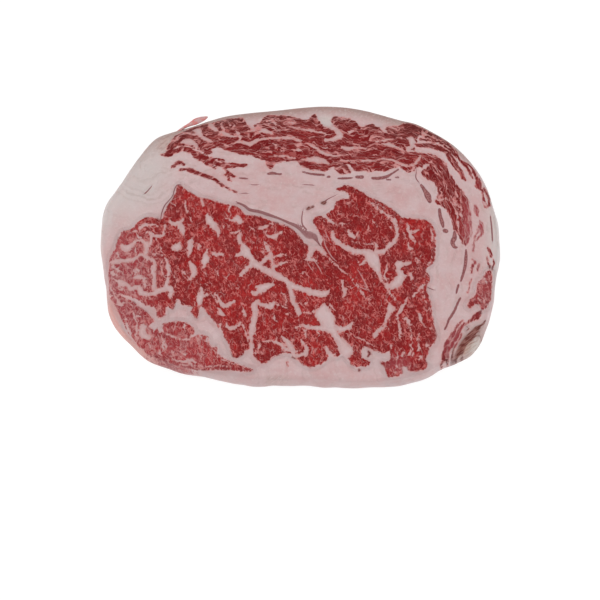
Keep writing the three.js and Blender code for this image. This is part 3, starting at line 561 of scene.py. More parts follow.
def thread(bands, x, y, reach=4.0):
    """For thin lines: the signed distance in half widths, and 1 near a line falling to 0 away from it."""
    best = np.full(x.shape, reach)
    signed = np.full(x.shape, reach)
    for band in bands:
        line = curve(band)
        where = np.flatnonzero(around(line, x, y, reach))
        distance, at, side = nearest(line, x[where], y[where])
        closer = distance < best[where]
        where = where[closer]
        best[where] = distance[closer]
        half = np.interp(at[closer], np.arange(len(line)), line[:, 2])
        signed[where] = distance[closer] * side[closer] / half
    return signed, 1 - smooth(best, 0.8, 2.0)


def rough(x, y, size, seed):
    """Smooth noise from -1 to 1 whose bumps are about size across: two turned grids, added up."""
    cells, start = 97, 500
    table = np.random.default_rng(seed).uniform(-1, 1, (cells, cells))
    total = np.zeros(x.shape)
    for turn, share in ((0.4, 0.6), (1.5, 0.4)):
        u = (x * math.cos(turn) + y * math.sin(turn)) / size + start
        v = (y * math.cos(turn) - x * math.sin(turn)) / size + start
        i, j = np.floor(u).astype(int), np.floor(v).astype(int)
        s, t = smooth(u - i, 0, 1), smooth(v - j, 0, 1)
        corner = [[table[(i + a) % cells, (j + b) % cells] for b in (0, 1)] for a in (0, 1)]
        low = corner[0][0] * (1 - t) + corner[0][1] * t
        high = corner[1][0] * (1 - t) + corner[1][1] * t
        total += share * (low * (1 - s) + high * s)
    return total


def unevenness(rows, x, y):
    """Noises of some heights, sizes and seeds, added up."""
    return sum(height * rough(x, y, size, seed) for height, size, seed in rows)


def blob(x, y, centre, size, turn):
    """1 in the middle of an oval, falling to 0 at its edge."""
    turn = math.radians(turn)
    dx, dy = x - centre[0], y - centre[1]
    u = (dx * math.cos(turn) + dy * math.sin(turn)) / size[0]
    v = (dy * math.cos(turn) - dx * math.sin(turn)) / size[1]
    return 1 - smooth(np.hypot(u, v), 0.2, 1)


def patches(rows, x, y):
    """How strongly each point lies in some ovals, added up."""
    return sum(strength * blob(x, y, centre, size, turn) for strength, centre, size, turn in rows)


def muscle_depth(x, y):
    """How deep each point lies in a muscle, whatever fat runs through it."""
    return np.maximum(deepest(MUSCLES, x, y), band_depth(STRANDS, x, y))


def lean_depth(x, y):
    """How deep each point lies in lean, and below 0 in fat."""
    x, y = x + unevenness(RAGGED_X, x, y), y + unevenness(RAGGED_Y, x, y)
    veins = LEFT_VEINS + MIDDLE_VEINS + RIGHT_VEINS + CAP_VEINS + CORNER_VEINS
    lean = np.minimum(deepest(MUSCLES, x, y), -band_depth(veins, x, y))
    return np.maximum(lean, band_depth(STRANDS, x, y))


# The slice's form, which repeats the solid's. Angles are anticlockwise from +X.
THICKNESS = 22
LONG_HALF = 100
SHORT_HALF = 71
RIM_BULGE = 1.6
RIM_WAVES = [(13, 0.35, 2), (29, 0.25, -3)]
RIM_ROUND = 4
SOFT_ROUND = 4.5
SOFT_SIDE = math.radians(152)
FOOT_ROUND = 2.5
CROWDING = 0.22
SWELLS = [(0.3, 34, 60, 1.3), (0.25, -70, 42, 0.4), (0.25, 56, -90, 2.6)]
SHRED = [(-66, 53, 16.5), (-60, 57.8, 17.5), (-53.5, 61.4, 18), (-46.3, 64.7, 17.2)]
SHRED_WIDE = 0.7, 1.9
SHRED_THICK = 0.8

# Noise, each row with a height, a size and a seed: what frays the edges of the lean, the lumps of the
# cut face and of the wall, and how far the lean and fat shift on their way down through the slice.
RAGGED_X = [(0.35, 3.2, 1), (0.3, 1.5, 2)]
RAGGED_Y = [(0.35, 3.2, 3), (0.3, 1.5, 4)]
FACE_LUMPS = [(0.16, 7, 21), (0.07, 2.6, 22)]
WALL_LUMPS = [(0.25, 4, 31)]
SHIFT_X = [(3, 16, 41)]
SHIFT_Y = [(3, 16, 42)]

# The wall's noise runs round a circle of this radius.
WALL_RADIUS = 80

# The layout's depths are cut off here.
DEEPEST = 4

# How finely the slice is divided: cells of its cut face, rows of its wall, cells of its underside. The
# gap parts the underside from the unit block's wall until they are joined.
FACE_CELLS = (324, 230)
WALL_ROWS = 11
UNDER_CELLS = (108, 76)
UNDER_GAP = 0.02

# Places that differ from the rest. Each row has a strength, a centre, half widths and a turn in degrees.
MARBLED_PATCHES = [
    (0.45, (-78, -12), (34, 34), 0), (0.1, (-52, 14), (28, 22), 0), (0.15, (-10, -50), (62, 16), 0),
    (0.05, (54, -30), (16, 40), 0), (0.45, (-20, 57), (32, 7), 4), (-0.2, (14, -14), (30, 13), -40),
]
GREYED_PATCHES = [
    (1, (-84, 34), (44, 30), 55), (1.3, (104, 5), (19, 62), 0), (0.8, (-103, 6), (13, 34), 0),
    (1, (13, 61), (7, 6), 0),
]
ROSY_PATCHES = [
    (0.8, (-90, -18), (30, 36), 0), (0.55, (-66, -52), (44, 20), -25), (1, (87, 4), (10, 32), 0),
    (0.4, (90, -26), (12, 20), 0), (0.5, (-10, -74), (80, 16), 0), (0.7, (76, -50), (10, 16), -30),
    (0.6, (48, -62), (10, 8), 0),
]
DRIED_PATCHES = [(0.8, (84, -50), (17, 9), 49)]
BROWNED_PATCHES = [(0.6, (72, -61), (5, 6), 0)]
TAN_PATCHES = [
    (1, (80.6, -53.5), (8.5, 3.6), 55), (0.3, (-11, -69), (9, 4), 0), (0.6, (-67, 49), (8, 6), 50),
]
CREAM_PATCHES = [(1, (85.3, -52.3), (8, 4), 52)]
ORANGE_RIM_PATCHES = [(1, (-80, -50), (36, 16), -43)]
ORANGE_PATCHES = [(0.5, (-90, -32), (9, 14), 20)]

# Fine marbling everywhere, and what the smaller muscles add: how much, and over which depths it sets in.
BASE_MARBLING = 0.3
MUSCLE_MARBLING = [(0.15, CAP, -4, -1), (0.3, CORNER_MUSCLE, -3, 0), (0.35, SIDE_MUSCLE, -3, 0)]

# Fascicles along the fibres, across them and down into the meat, in millimetres.
EYE_FASCICLE = (3.3, 2.1, 6)
CAP_FASCICLE = (6, 1.35, 6)
DRIED_RIDGE = (4, 0.55, 5)

# The cap's middle, along which its fibres run, and on down the right side.
CAP_COURSE = [
    (-76, 38), (-63, 46.5), (-45, 52), (-20, 53), (5, 51), (30, 48), (50, 48), (64, 44), (73, 33),
    (79, 18), (82, 3), (83, -12), (84, -27), (81, -42), (73, -58),
]
EYE_GRAIN = math.radians(108)
DRIED_GRAIN = math.radians(36)


# The stage, in metres: the floor, the lights with their watts, and the camera.
FLOOR_HALF = 3
LIGHTS = [("left", (-1.5, 0.4, 1.5), 29), ("right", (1.5, 0.3, 1.4), 21), ("front", (0, -1.8, 1.3), 14)]
LIGHT_AIM = (0, 0, 0.01)
LIGHT_COLOUR = (1.0, 0.99, 0.98)
ROOM_LIGHT = 0.22
CAMERA_TARGET = (0.0001, -0.02995, THICKNESS * MM)
CAMERA_RAISED = math.radians(80)
CAMERA_DISTANCE = 0.693
CAMERA_LENS = 85
CAMERA_SENSOR = 36


def rim_reach(angle):
    """How far the rim lies from the origin in each direction."""
    line = curve(RIM, closed=True, steps=12)
    turn = np.unwrap(np.arctan2(line[:, 1], line[:, 0]))
    return np.interp((angle - turn[0]) % math.tau + turn[0], turn, np.hypot(line[:, 0], line[:, 1]))


def drop(radius, inset):
    """How far a rounded edge has dropped at some distance in from it."""
    short = np.clip(radius - inset, 0, radius)
    return radius - np.sqrt(radius * radius - short * short)


def swell(x, y):
    """Slow waves of the cut face."""
    return sum(high * np.sin(math.tau * (x / along + y / across) + phase)
               for high, along, across, phase in SWELLS)


def face_relief(form, x, y):
    """How far the cut face stands above its mean level."""
    muscle = muscle_depth(x, y)
    lean = lean_depth(x, y)
    rise = form.muscle_rise * (smooth(muscle, -2.2, 2.6) - 0.5)
    veins = form.vein_rise * smooth(-lean, 0, 1) * smooth(muscle, -0.5, 2)
    membrane = form.membrane_depth * smooth(band_depth(MEMBRANES, x, y), -1.4, 0)
    crease = form.crease_depth * smooth(band_depth(CREASES, x, y), -1.1, 0.4)
    return rise + veins - membrane - crease + unevenness(FACE_LUMPS, x, y) + swell(x, y)


def square_to_slice(u, v):
    """For points of a square, from -1 to 1: their direction, and their share of the way to the rim."""
    across = u * np.sqrt(1 - v * v / 2)
    up = v * np.sqrt(1 - u * u / 2)
    out = np.hypot(across, up)
    return np.arctan2(up * SHORT_HALF, across * LONG_HALF), out * (1 + CROWDING * (1 - out * out))


def place_slice(form, u, v, level):
    """Where the block's points go, and their spot in the layout of lean and fat.

    The level is 1 on the cut face, falls to 0 down the wall, and is -1 on the underside.
    """
    angle, share = square_to_slice(u, v)
    edge = rim_reach(angle) - RIM_BULGE
    radius = RIM_ROUND + SOFT_ROUND * np.maximum(0, np.cos(angle - SOFT_SIDE)) ** 3
    rise = np.clip(level, 0, 1)
    height = rise * (THICKNESS - radius)
    waver = sum(high * np.sin(count * angle + twist * rise) for count, high, twist in RIM_WAVES)
    waver = waver + unevenness(WALL_LUMPS, angle * WALL_RADIUS, height)
    top, under = level > 0.999, level < -0.5
    wall = edge + np.sin(math.pi * rise) * (RIM_BULGE + waver) - drop(FOOT_ROUND, height)
    reach = np.select([top, under], [share * edge, share * (edge - FOOT_ROUND)], wall)
    x, y = reach * np.cos(angle), reach * np.sin(angle)
    inset = (1 - share[top]) * edge[top]
    z = height.copy()
    fade = smooth(inset, 0, 2 * RIM_ROUND)
    z[top] = THICKNESS - drop(radius[top], inset) + face_relief(form, x[top], y[top]) * fade
    sunk = 1 - np.clip(z / THICKNESS, 0, 1)
    spot_x = share * edge * np.cos(angle) + sunk * unevenness(SHIFT_X, x, y)
    spot_y = share * edge * np.sin(angle) + sunk * unevenness(SHIFT_Y, x, y)
    return np.stack([x, y, z], 1), spot_x, spot_y


def slice_block():
    """A closed unit block: a fine square cut face, a wall below it and a coarser underside."""
    bm = bmesh.new()
    level = bm.verts.layers.float.new("level")
    bmesh.ops.create_grid(bm, x_segments=FACE_CELLS[0], y_segments=FACE_CELLS[1], size=1)
    for vert in bm.verts:
        vert[level] = 1
    rim = [edge for edge in bm.edges if edge.is_boundary]
    for row in range(1, WALL_ROWS + 1):
        made = bmesh.ops.extrude_edge_only(bm, edges=rim)["geom"]
        rim = [part for part in made if isinstance(part, bmesh.types.BMEdge) and part.is_boundary]
        for vert in {vert for edge in rim for vert in edge.verts}:
            vert.co.z = -row / WALL_ROWS
            vert[level] = 0.5 + 0.5 * math.cos(math.pi * row / WALL_ROWS)
    made = bmesh.ops.create_grid(bm, x_segments=UNDER_CELLS[0], y_segments=UNDER_CELLS[1], size=1)
    for vert in made["verts"]:
        vert.co.z = -1 - UNDER_GAP
        vert[level] = -1
    under = [edge for edge in bm.edges if edge.is_boundary and edge.verts[0][level] < -0.5]
    bmesh.ops.bridge_loops(bm, edges=rim + under)
    bmesh.ops.recalc_face_normals(bm, faces=bm.faces)
    if any(not edge.is_manifold for edge in bm.edges):
        raise RuntimeError("the slice isn't closed")
    mesh = bpy.data.meshes.new("ribeye_slice")
    bm.to_mesh(mesh)
    bm.free()
    return mesh


def read_points(mesh):
    """A mesh's vertices as rows of three numbers."""
    flat = np.empty(len(mesh.vertices) * 3, np.float32)
    mesh.vertices.foreach_get("co", flat)
    return flat.reshape(-1, 3).astype(float)


def write_points(mesh, points):
    """Moves a mesh's vertices to points in millimetres."""
    mesh.vertices.foreach_set("co", (points * MM).astype(np.float32).ravel())
    mesh.update()


def write_map(mesh, name, *columns):
    """Stores one to three numbers for each vertex under a name that the material reads."""
    kind = ("FLOAT", "FLOAT2", "FLOAT_VECTOR")[len(columns) - 1]
    attribute = mesh.attributes.new(name, kind, "POINT")
    key = "value" if kind == "FLOAT" else "vector"
    attribute.data.foreach_set(key, np.stack(columns, 1).astype(np.float32).ravel())


def shade_smooth(mesh):
    """Makes every face smooth."""
    mesh.polygons.foreach_set("use_smooth", [True] * len(mesh.polygons))


def marbling(x, y):
    """How much fine marbling there is, from 0 to 1."""
    total = BASE_MARBLING + patches(MARBLED_PATCHES, x, y)
    for strength, shape, start, full in MUSCLE_MARBLING:
        total = total + strength * smooth(shape_depth(shape, x, y), start, full)
    return np.clip(total, 0, 1)


def lay_out_grain(mesh, x, y):
    """Writes how far along and across the cap each point lies, and 1 where that grain replaces the eye's."""
    line = curve(CAP_COURSE, steps=8)
    away, at, side = nearest(line, x, y)
    steps = np.hypot(*np.diff(line[:, :2], axis=0).T)
    along = np.interp(at, np.arange(len(line)), np.concatenate([[0], np.cumsum(steps)]))
    like_eye = deepest((EYE, CORNER_MUSCLE, SIDE_MUSCLE), x, y)
    write_map(mesh, "cap_grain", along, away * side, 1 - smooth(like_eye, -2.5, -0.5))


def lay_out_tints(mesh, x, y):
    """Writes where the meat has greyed, dried or browned, where it is rosy, and where it is stained. The
    dried map also holds painted shade along the top rim.
    """
    inward = shape_depth(RIM, x, y)
    # Painted shade: the rim term darkens the fat along the top rim, where the rounded edge turns from the
    # light; the patches are the real dried corner.
    dried = np.maximum(smooth(inward, 9, 2) * smooth(y, 30, 58), patches(DRIED_PATCHES, x, y))
    tints = patches(GREYED_PATCHES, x, y), dried, patches(ROSY_PATCHES, x, y)
    write_map(mesh, "tints", *(np.clip(tint, 0, 1) for tint in tints))
    browned = smooth(inward, 17, 6) * smooth(y, 34, 56)
    write_map(mesh, "browned", np.maximum(browned, patches(BROWNED_PATCHES, x, y)))
    tan = np.clip(patches(TAN_PATCHES, x, y), 0, 1)
    orange = smooth(inward, 3.5, 1.5) * patches(ORANGE_RIM_PATCHES, x, y) + patches(ORANGE_PATCHES, x, y)
    write_map(mesh, "stains", tan, patches(CREAM_PATCHES, x, y), orange)


def lay_out(mesh, x, y):
    """Writes where lean, fat, thin lines and tints lie, for points of the layout."""
    depths = {"lean": lean_depth(x, y), "muscle": muscle_depth(x, y),
              "islands": band_depth(GREY_ISLANDS, x, y), "crease": band_depth(CREASES, x, y)}
    for name, depth in depths.items():
        write_map(mesh, name, np.clip(depth, -DEEPEST, DEEPEST))
    write_map(mesh, "marbling", marbling(x, y))
    write_map(mesh, "membrane", *thread(MEMBRANES, x, y), smooth(band_depth(MEMBRANES, x, y), -0.1, 0.4))
    write_map(mesh, "hairline", *thread(HAIRLINES, x, y))
    lay_out_grain(mesh, x, y)
    lay_out_tints(mesh, x, y)


class Value:
    """A shader socket. Sums, differences, products and quotients of values add Math nodes."""

    def __init__(self, shader, socket):
        self.shader = shader
        self.socket = socket

    def __add__(self, other):
        return self.shader.math("ADD", self, other)

    def __radd__(self, other):
        return self.shader.math("ADD", other, self)

    def __sub__(self, other):
        return self.shader.math("SUBTRACT", self, other)

    def __rsub__(self, other):
        return self.shader.math("SUBTRACT", other, self)

    def __mul__(self, other):
        return self.shader.math("MULTIPLY", self, other)

    def __truediv__(self, other):
        return self.shader.math("DIVIDE", self, other)

    def __abs__(self):
        return self.shader.math("ABSOLUTE", self)

    def above(self, low, high):
        """0 up to low, 1 from high, and a smooth rise between them. Low and high may be values."""
        inputs = {"Value": self, "From Min": low, "From Max": high}
        return self.shader.node("MapRange", {"interpolation_type": "SMOOTHSTEP"}, inputs)

    def at_most(self, other):
        """The smaller of two values."""
        return self.shader.math("MINIMUM", self, other)


class Shader:
    """A material's nodes, added by name."""

    def __init__(self, name):
        self.material = bpy.data.materials.new(name)
        self.material.use_nodes = True
        self.tree = self.material.node_tree
        self.tree.nodes.clear()

    def node(self, kind, settings=None, inputs=None, output=0):
        """Adds a node. Its settings come first, then the numbers or links of its sockets."""
        made = self.tree.nodes.new("ShaderNode" + kind)
        for key, setting in (settings or {}).items():
            setattr(made, key, setting)
        for key, value in (inputs or {}).items():
            socket = made.inputs[key]
            if isinstance(value, Value):
                self.tree.links.new(value.socket, socket)
            else:
                socket.default_value = value
        return Value(self, made.outputs[output] if len(made.outputs) else None)

    def math(self, operation, *values):
        return self.node("Math", {"operation": operation}, dict(enumerate(values)))

    def mix(self, factor, low, high):
        """A colour, going from low to high as the factor goes from 0 to 1."""
        settings = {"data_type": "RGBA", "clamp_factor": True}
        return self.node("Mix", settings, {0: factor, 6: low, 7: high}, output=2)

    def split(self, vector):
        """A vector's three numbers."""
        return [self.node("SeparateXYZ", None, {0: vector}, output=i) for i in range(3)]

    def stored(self, name):
        """A number stored for each vertex."""
        return self.node("Attribute", {"attribute_name": name}, output=2)

    def stored_three(self, name):
        """Up to three numbers stored for each vertex, and 0 for one that isn't there."""
        return self.split(self.node("Attribute", {"attribute_name": name}, output=1))

    def noise(self, vector, scale=1.0, detail=2.0, roughness=0.5, output=0):
        inputs = {"Vector": vector, "Scale": scale, "Detail": detail, "Roughness": roughness}
        return self.node("TexNoise", None, inputs, output)

    def cells(self, vector, scale):
        """How far each point lies from the border of its cell."""
        return self.node("TexVoronoi", {"feature": "DISTANCE_TO_EDGE"}, {"Vector": vector, "Scale": scale})

    def vector(self, operation, *values):
        return self.node("VectorMath", {"operation": operation}, dict(enumerate(values)))

    def turned(self, vector, angle, size):
        """Coordinates turned about Z and counted in units of a size along each axis."""
        inputs = {"Vector": vector, "Rotation": (0, 0, angle), "Scale": size}
        return self.node("Mapping", {"vector_type": "TEXTURE"}, inputs)


def srgb(red, green, blue):
    """A colour given in steps of 255, as Blender's linear numbers."""
    linear = [c / 12.92 if c <= 0.04045 else ((c + 0.055) / 1.055) ** 2.4
              for c in (red / 255, green / 255, blue / 255)]
    return (*linear, 1.0)


def meat_material(form, colours):
    """Lean with its marbling, fat, membranes and dried places, and painted shade next to fat and along the
    top rim.
    """
    shader = Shader("raw_meat")
    place = shader.node("TexCoord", output=3)
    mm = shader.vector("MULTIPLY", place, (1 / MM,) * 3)

    # Coordinates along and across the fibres, in units of a fascicle.
    half = (0.5, 0.5, 0.5)
    wobble = shader.vector("SUBTRACT", shader.noise(mm, 0.45, 1, output=1), half)
    sway = shader.vector("SUBTRACT", shader.noise(mm, 0.09, 1, output=1), half)
    curled = shader.vector("MULTIPLY_ADD", wobble, (3.0, 3.0, 3.0), mm)
    eye_way = shader.turned(curled, EYE_GRAIN, EYE_FASCICLE)
    along, across, outside = shader.stored_three("cap_grain")
    shake = shader.split(wobble)
    slow_shake = shader.split(sway)[1]
    depth = shader.split(mm)[2]
    cap_way = shader.node("CombineXYZ", None, {
        0: (along + shake[0] * 4) / CAP_FASCICLE[0],
        1: (across + shake[1] * 2.4 + slow_shake * 7) / CAP_FASCICLE[1],
        2: depth / CAP_FASCICLE[2]})
    way = shader.node("Mix", {"data_type": "VECTOR"}, {0: outside, 4: eye_way, 5: cap_way}, output=1)

    # Marbling too fine for the veins: pools, and lines that creep in between the fascicles.
    marbling = shader.stored("marbling") * form.marbling
    border = shader.cells(way, 1.0)
    finer = shader.node("CombineXYZ", None, {0: 1.5 + outside * 0.4, 1: 2.1 - outside * 0.6, 2: 2.0})
    fine_border = shader.cells(shader.vector("MULTIPLY", way, finer), 1.0)
    shade = shader.node("TexVoronoi", {"feature": "F1"}, {"Vector": way, "Scale": 1.0}, output=1)
    spots = shader.noise(way, 1.5, 3.0, 0.6)
    where = shader.noise(shader.vector("ADD", way, (3.7, 31.9, 2.3)), 0.8, 2.0, 0.5)
    wide = (where - (0.67 - marbling * 0.16 - outside * 0.1)) * 0.8
    lines = (border - wide) * 2.0
    pools = shader.noise(shader.vector("ADD", way, (21.1, 7.7, 3.3)), 0.65, 4.0, 0.62)
    pool_edge = (0.74 - marbling * 0.17 + outside * 0.02 - pools) * 9

    # Lean and fat. Fat has cusps where it meets the borders of the fascicles.
    uneven = shader.noise(mm, 1.5, 2, 0.6) - 0.5
    cusps = (1 - border.above(0.0, 0.26)) * (0.6 - outside * 0.15) - 0.4 + outside * 0.08
    depth = shader.stored("lean").at_most(pool_edge) - cusps + uneven * 0.65
    depth = depth.at_most(lines)
    # The dried map holds the real dried corner and painted shade along the top rim.
    greyed, dried, rosy = shader.stored_three("tints")
    meat = depth.above(-0.17 - rosy * 0.25, 0.2 + rosy * 0.35)
    browned = shader.stored("browned")

    # Lean: a base that drifts, each fascicle its own shade, fine fibres, and painted shade where it meets
    # fat.
    slow = shader.noise(mm, 0.06, 2, 0.6)
    fibres = shader.noise(way, 3.2, 3, 0.65)
    red = shader.mix(slow.above(0.35, 0.65), colours.lean_deep, colours.lean_bright)
    red = shader.mix(shade.above(0.3, 0.8) * 0.4, red, colours.lean_dark_and_edge_shade)
    red = shader.mix(fibres.above(0.48, 0.72) * 0.6, red, colours.lean_dark_and_edge_shade)
    red = shader.mix((1 - fibres.above(0.3, 0.46)) * 0.5, red, colours.lean_bright)
    # Painted shade: the lean is darkened along its edges next to fat.
    red = shader.mix((1 - depth.above(0.1, 0.7)) * 0.35, red, colours.lean_dark_and_edge_shade)
    red = shader.mix(outside * (1 - rosy * 0.8) * 0.58, red, colours.lean_dark_and_edge_shade)
    red = shader.mix(rosy * 0.6, red, colours.lean_rosy)
    red = shader.mix(browned * 0.75, red, colours.lean_dried)
    astray = shader.noise(shader.vector("ADD", way, (9.1, 4.9, 12.3)), 1.1, 2.0, 0.5)
    bright = astray.above(0.53 - marbling * 0.12, 0.63 - marbling * 0.06)
    hairs = (1 - fine_border.above(0.02, 0.15)) * (0.12 + bright * 0.6)
    fleck = shader.mix(rosy * 0.7, colours.fleck, colours.fat_vein)
    red = shader.mix(hairs * (1 - outside * 0.45 - rosy * 0.15), red, fleck)
    specks = spots.above(0.6 - marbling * 0.08, 0.68 - marbling * 0.06) * (0.6 - outside * 0.25 - rosy * 0.1)
    red = shader.mix(specks, red, fleck)

    # Fat: clouds of pink and grey, faint wrinkles, a blush next to lean, and painted shade along the top rim.
    clouds = shader.noise(mm, 0.11, 3, 0.6)
    wrinkles = shader.noise(shader.vector("ADD", way, (8.8, 1.2, 4.4)), 0.55, 4, 0.65)
    crumbs = shader.noise(mm, 0.8, 3, 0.6)
    fat = shader.mix(clouds.above(0.35, 0.75), colours.fat, colours.fat_pink)
    fat = shader.mix(greyed * 0.85, fat, colours.fat_grey)
    fat = shader.mix(rosy * 0.5, fat, colours.fat_pink)
    # Painted shade along the top rim comes in here with the dried fat.
    fat = shader.mix(dried * 0.75, fat, colours.fat_dried_and_rim_shade)
    tan, cream, orange = shader.stored_three("stains")
    fat = shader.mix(cream * 0.8, fat, colours.fat_cream)
    fat = shader.mix(tan * 0.8, fat, colours.fat_tan)
    streaks = shader.noise(shader.turned(mm, DRIED_GRAIN, DRIED_RIDGE)).above(0.46, 0.58)
    fat = shader.mix(streaks * (tan * 0.5 + cream * 0.25 + dried * 0.1), fat, colours.crease)
    fat = shader.mix(orange * 0.85, fat, colours.fat_orange)
    fat = shader.mix(wrinkles.above(0.5, 0.75) * 0.3, fat, colours.fat_dried_and_rim_shade)
    fat = shader.mix((1 - crumbs.above(0.25, 0.5)) * 0.4, fat, colours.fat_pale)
    inner = shader.stored("muscle").above(-0.5, 1.5) * depth.above(-2.0, -0.3)
    fat = shader.mix(inner * 0.9, fat, colours.fat_vein)
    fat = shader.mix(depth.above(-0.5, -0.05) * 0.65, fat, fleck)

    base = shader.mix(meat, fat, red)

    # Membranes, hairlines of fat, grey islands and the dried creases. Islands have darker rims.
    island = shader.stored("islands") + uneven * 0.5
    base = shader.mix(island.above(-0.4, 0.05) * 0.93, base, colours.island_rim)
    flecked = shader.noise(mm, 1.3, 2, 0.6).above(0.42, 0.56)
    base = shader.mix(island.above(0.0, 0.5) * flecked * 0.9, base, colours.island)
    signed, near, filled = shader.stored_three("membrane")
    thick = abs(signed + uneven * 0.4)
    base = shader.mix((1 - thick.above(0.8, 1.4)) * near * 0.9, base, colours.island_rim)
    filled = (1 - thick.above(0.7, 1.05)) * filled
    base = shader.mix(filled * (0.45 + flecked * 0.5), base, colours.membrane)
    signed, near, _ = shader.stored_three("hairline")
    thin = 1 - abs(signed + uneven * 0.5).above(0.5, 1.3)
    base = shader.mix(thin * near * 0.6, base, colours.fat_pink)
    folds = (shader.stored("crease") + uneven * 0.4).above(-0.35, 0.3)
    base = shader.mix(folds * (0.8 + streaks * 0.2), base, colours.crease)
    base = shader.mix(folds * streaks * 0.8, base, colours.lean_dried)

    # Relief finer than the mesh.
    grit = shader.noise(mm, 2.2, 3, 0.6)
    height = (1 - meat) * 0.08 + spots * meat * 0.14 + grit * 0.05
    height = height + (wrinkles * 0.25 + crumbs * 0.12) * (1 - meat) - folds * 0.1
    normal = shader.node("Bump", None, {"Strength": 1.0, "Distance": MM, "Height": height})
    roughness = 0.3 + grit * 0.2 + (1 - meat) * 0.05 + dried * 0.15
    principled = shader.node("BsdfPrincipled", {"subsurface_method": "RANDOM_WALK"}, {
        "Base Color": base,
        "Roughness": roughness,
        "Normal": normal,
        "Subsurface Weight": 0.1,
        "Subsurface Radius": (1.0, 0.4, 0.3),
        "Subsurface Scale": 0.0007,
        "Specular IOR Level": 0.2,
        "Coat Weight": 0.03,
        "Coat Roughness": 0.3,
    })
    shader.node("OutputMaterial", None, {"Surface": principled})
    return shader.material


def floor_material(stage):
    """Plain and pale, with the least unevenness."""
    shader = Shader("pale_floor")
    place = shader.node("TexCoord", output=3)
    cloud = shader.noise(place, 3.0, 2)
    base = shader.mix(cloud * 0.05, stage.floor_colour, (0.8, 0.8, 0.8, 1))
    principled = shader.node("BsdfPrincipled", None,
                             {"Base Color": base, "Roughness": 0.7, "Specular IOR Level": 0.2,
                              "Emission Color": (1, 1, 1, 1), "Emission Strength": stage.floor_glow})
    shader.node("OutputMaterial", None, {"Surface": principled})
    return shader.material


def torn_fat_material(colours):
    """Pink fat with redder clouds."""
    shader = Shader("torn_fat")
    place = shader.node("TexCoord", output=3)
    cloud = shader.noise(place, 400.0, 3, 0.6)
    base = shader.mix(cloud.above(0.35, 0.65), colours.fat_pink, colours.fleck)
    normal = shader.node("Bump", None, {"Distance": 0.3 * MM, "Height": cloud})
    principled = shader.node("BsdfPrincipled", None, {
        "Base Color": base, "Roughness": 0.4 + cloud * 0.2, "Normal": normal,
        "Subsurface Weight": 0.12, "Subsurface Radius": (1.0, 0.4, 0.3), "Subsurface Scale": 1.2 * MM})
    shader.node("OutputMaterial", None, {"Surface": principled})
    return shader.material


def bend_shred(ball):
    """Where the points of a unit ball go to make the shred."""
    line = curve(SHRED, steps=12)
    count = np.arange(len(line))
    at = (ball[:, 2] + 1) / 2 * (len(line) - 1)
    middle = np.stack([np.interp(at, count, line[:, i]) for i in range(3)], 1)
    way = np.stack([np.interp(at, count, np.gradient(line[:, i])) for i in range(2)], 1)
    way /= np.linalg.norm(way, axis=1, keepdims=True)
    torn = 1 + 0.25 * rough(at, ball[:, 0] * 2, 3, 51)
    thin, wide = SHRED_WIDE
    wide = thin + (wide - thin) * smooth(ball[:, 2], -0.1, 0.7)
    x = middle[:, 0] - way[:, 1] * ball[:, 0] * wide * torn
    y = middle[:, 1] + way[:, 0] * ball[:, 0] * wide * torn
    z = middle[:, 2] + ball[:, 1] * SHRED_THICK * torn
    return np.stack([x, y, z], 1)


def add_piece(context, name, mesh, material):
    """Adds a mesh as a piece of the steak that rides on its one body."""
    mesh.materials.append(material)
    piece = bpy.data.objects.new(name, mesh)
    context.scene.collection.objects.link(piece)
    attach(piece, "root")
    return piece


def add_light(context, name, place, size, watts):
    """Adds a square soft light that points at the slice."""
    data = bpy.data.lights.new(name, "AREA")
    data.size = size
    data.energy = watts
    data.color = LIGHT_COLOUR
    light = bpy.data.objects.new(name, data)
    light.location = place
    light.rotation_euler = (Vector(LIGHT_AIM) - Vector(place)).to_track_quat("-Z", "Y").to_euler()
    context.scene.collection.objects.link(light)


def number_property(name, description, default, highest, lowest=0, **more):
    """A number that a user can change."""
    return FloatProperty(name=name, description=description, default=default, min=lowest, max=highest,
                         **more)


class SteakForm(bpy.types.PropertyGroup):
    """Heights of the cut face's relief, in millimetres, and the amount of fine marbling."""

    muscle_rise: number_property("Muscle Rise", "How far the muscles stand above the fat, in mm", 1.1, 2)
    vein_rise: number_property("Vein Rise", "How far fat veins stand out of the lean, in mm", 0.22, 1)
    membrane_depth: number_property("Membrane Depth", "Depth of the membranes' grooves, in mm", 0.55, 2)
    crease_depth: number_property("Crease Depth", "Depth of the dried corner's creases, in mm", 1.0, 2)
    marbling: number_property("Marbling", "Amount of fine marbling in the lean", 1.0, 1.5, subtype="FACTOR")


def colour_property(name, description, default):
    """A colour that a user can change."""
    return FloatVectorProperty(name=name, description=description, default=default, size=4,
                               min=0, max=1, subtype="COLOR")


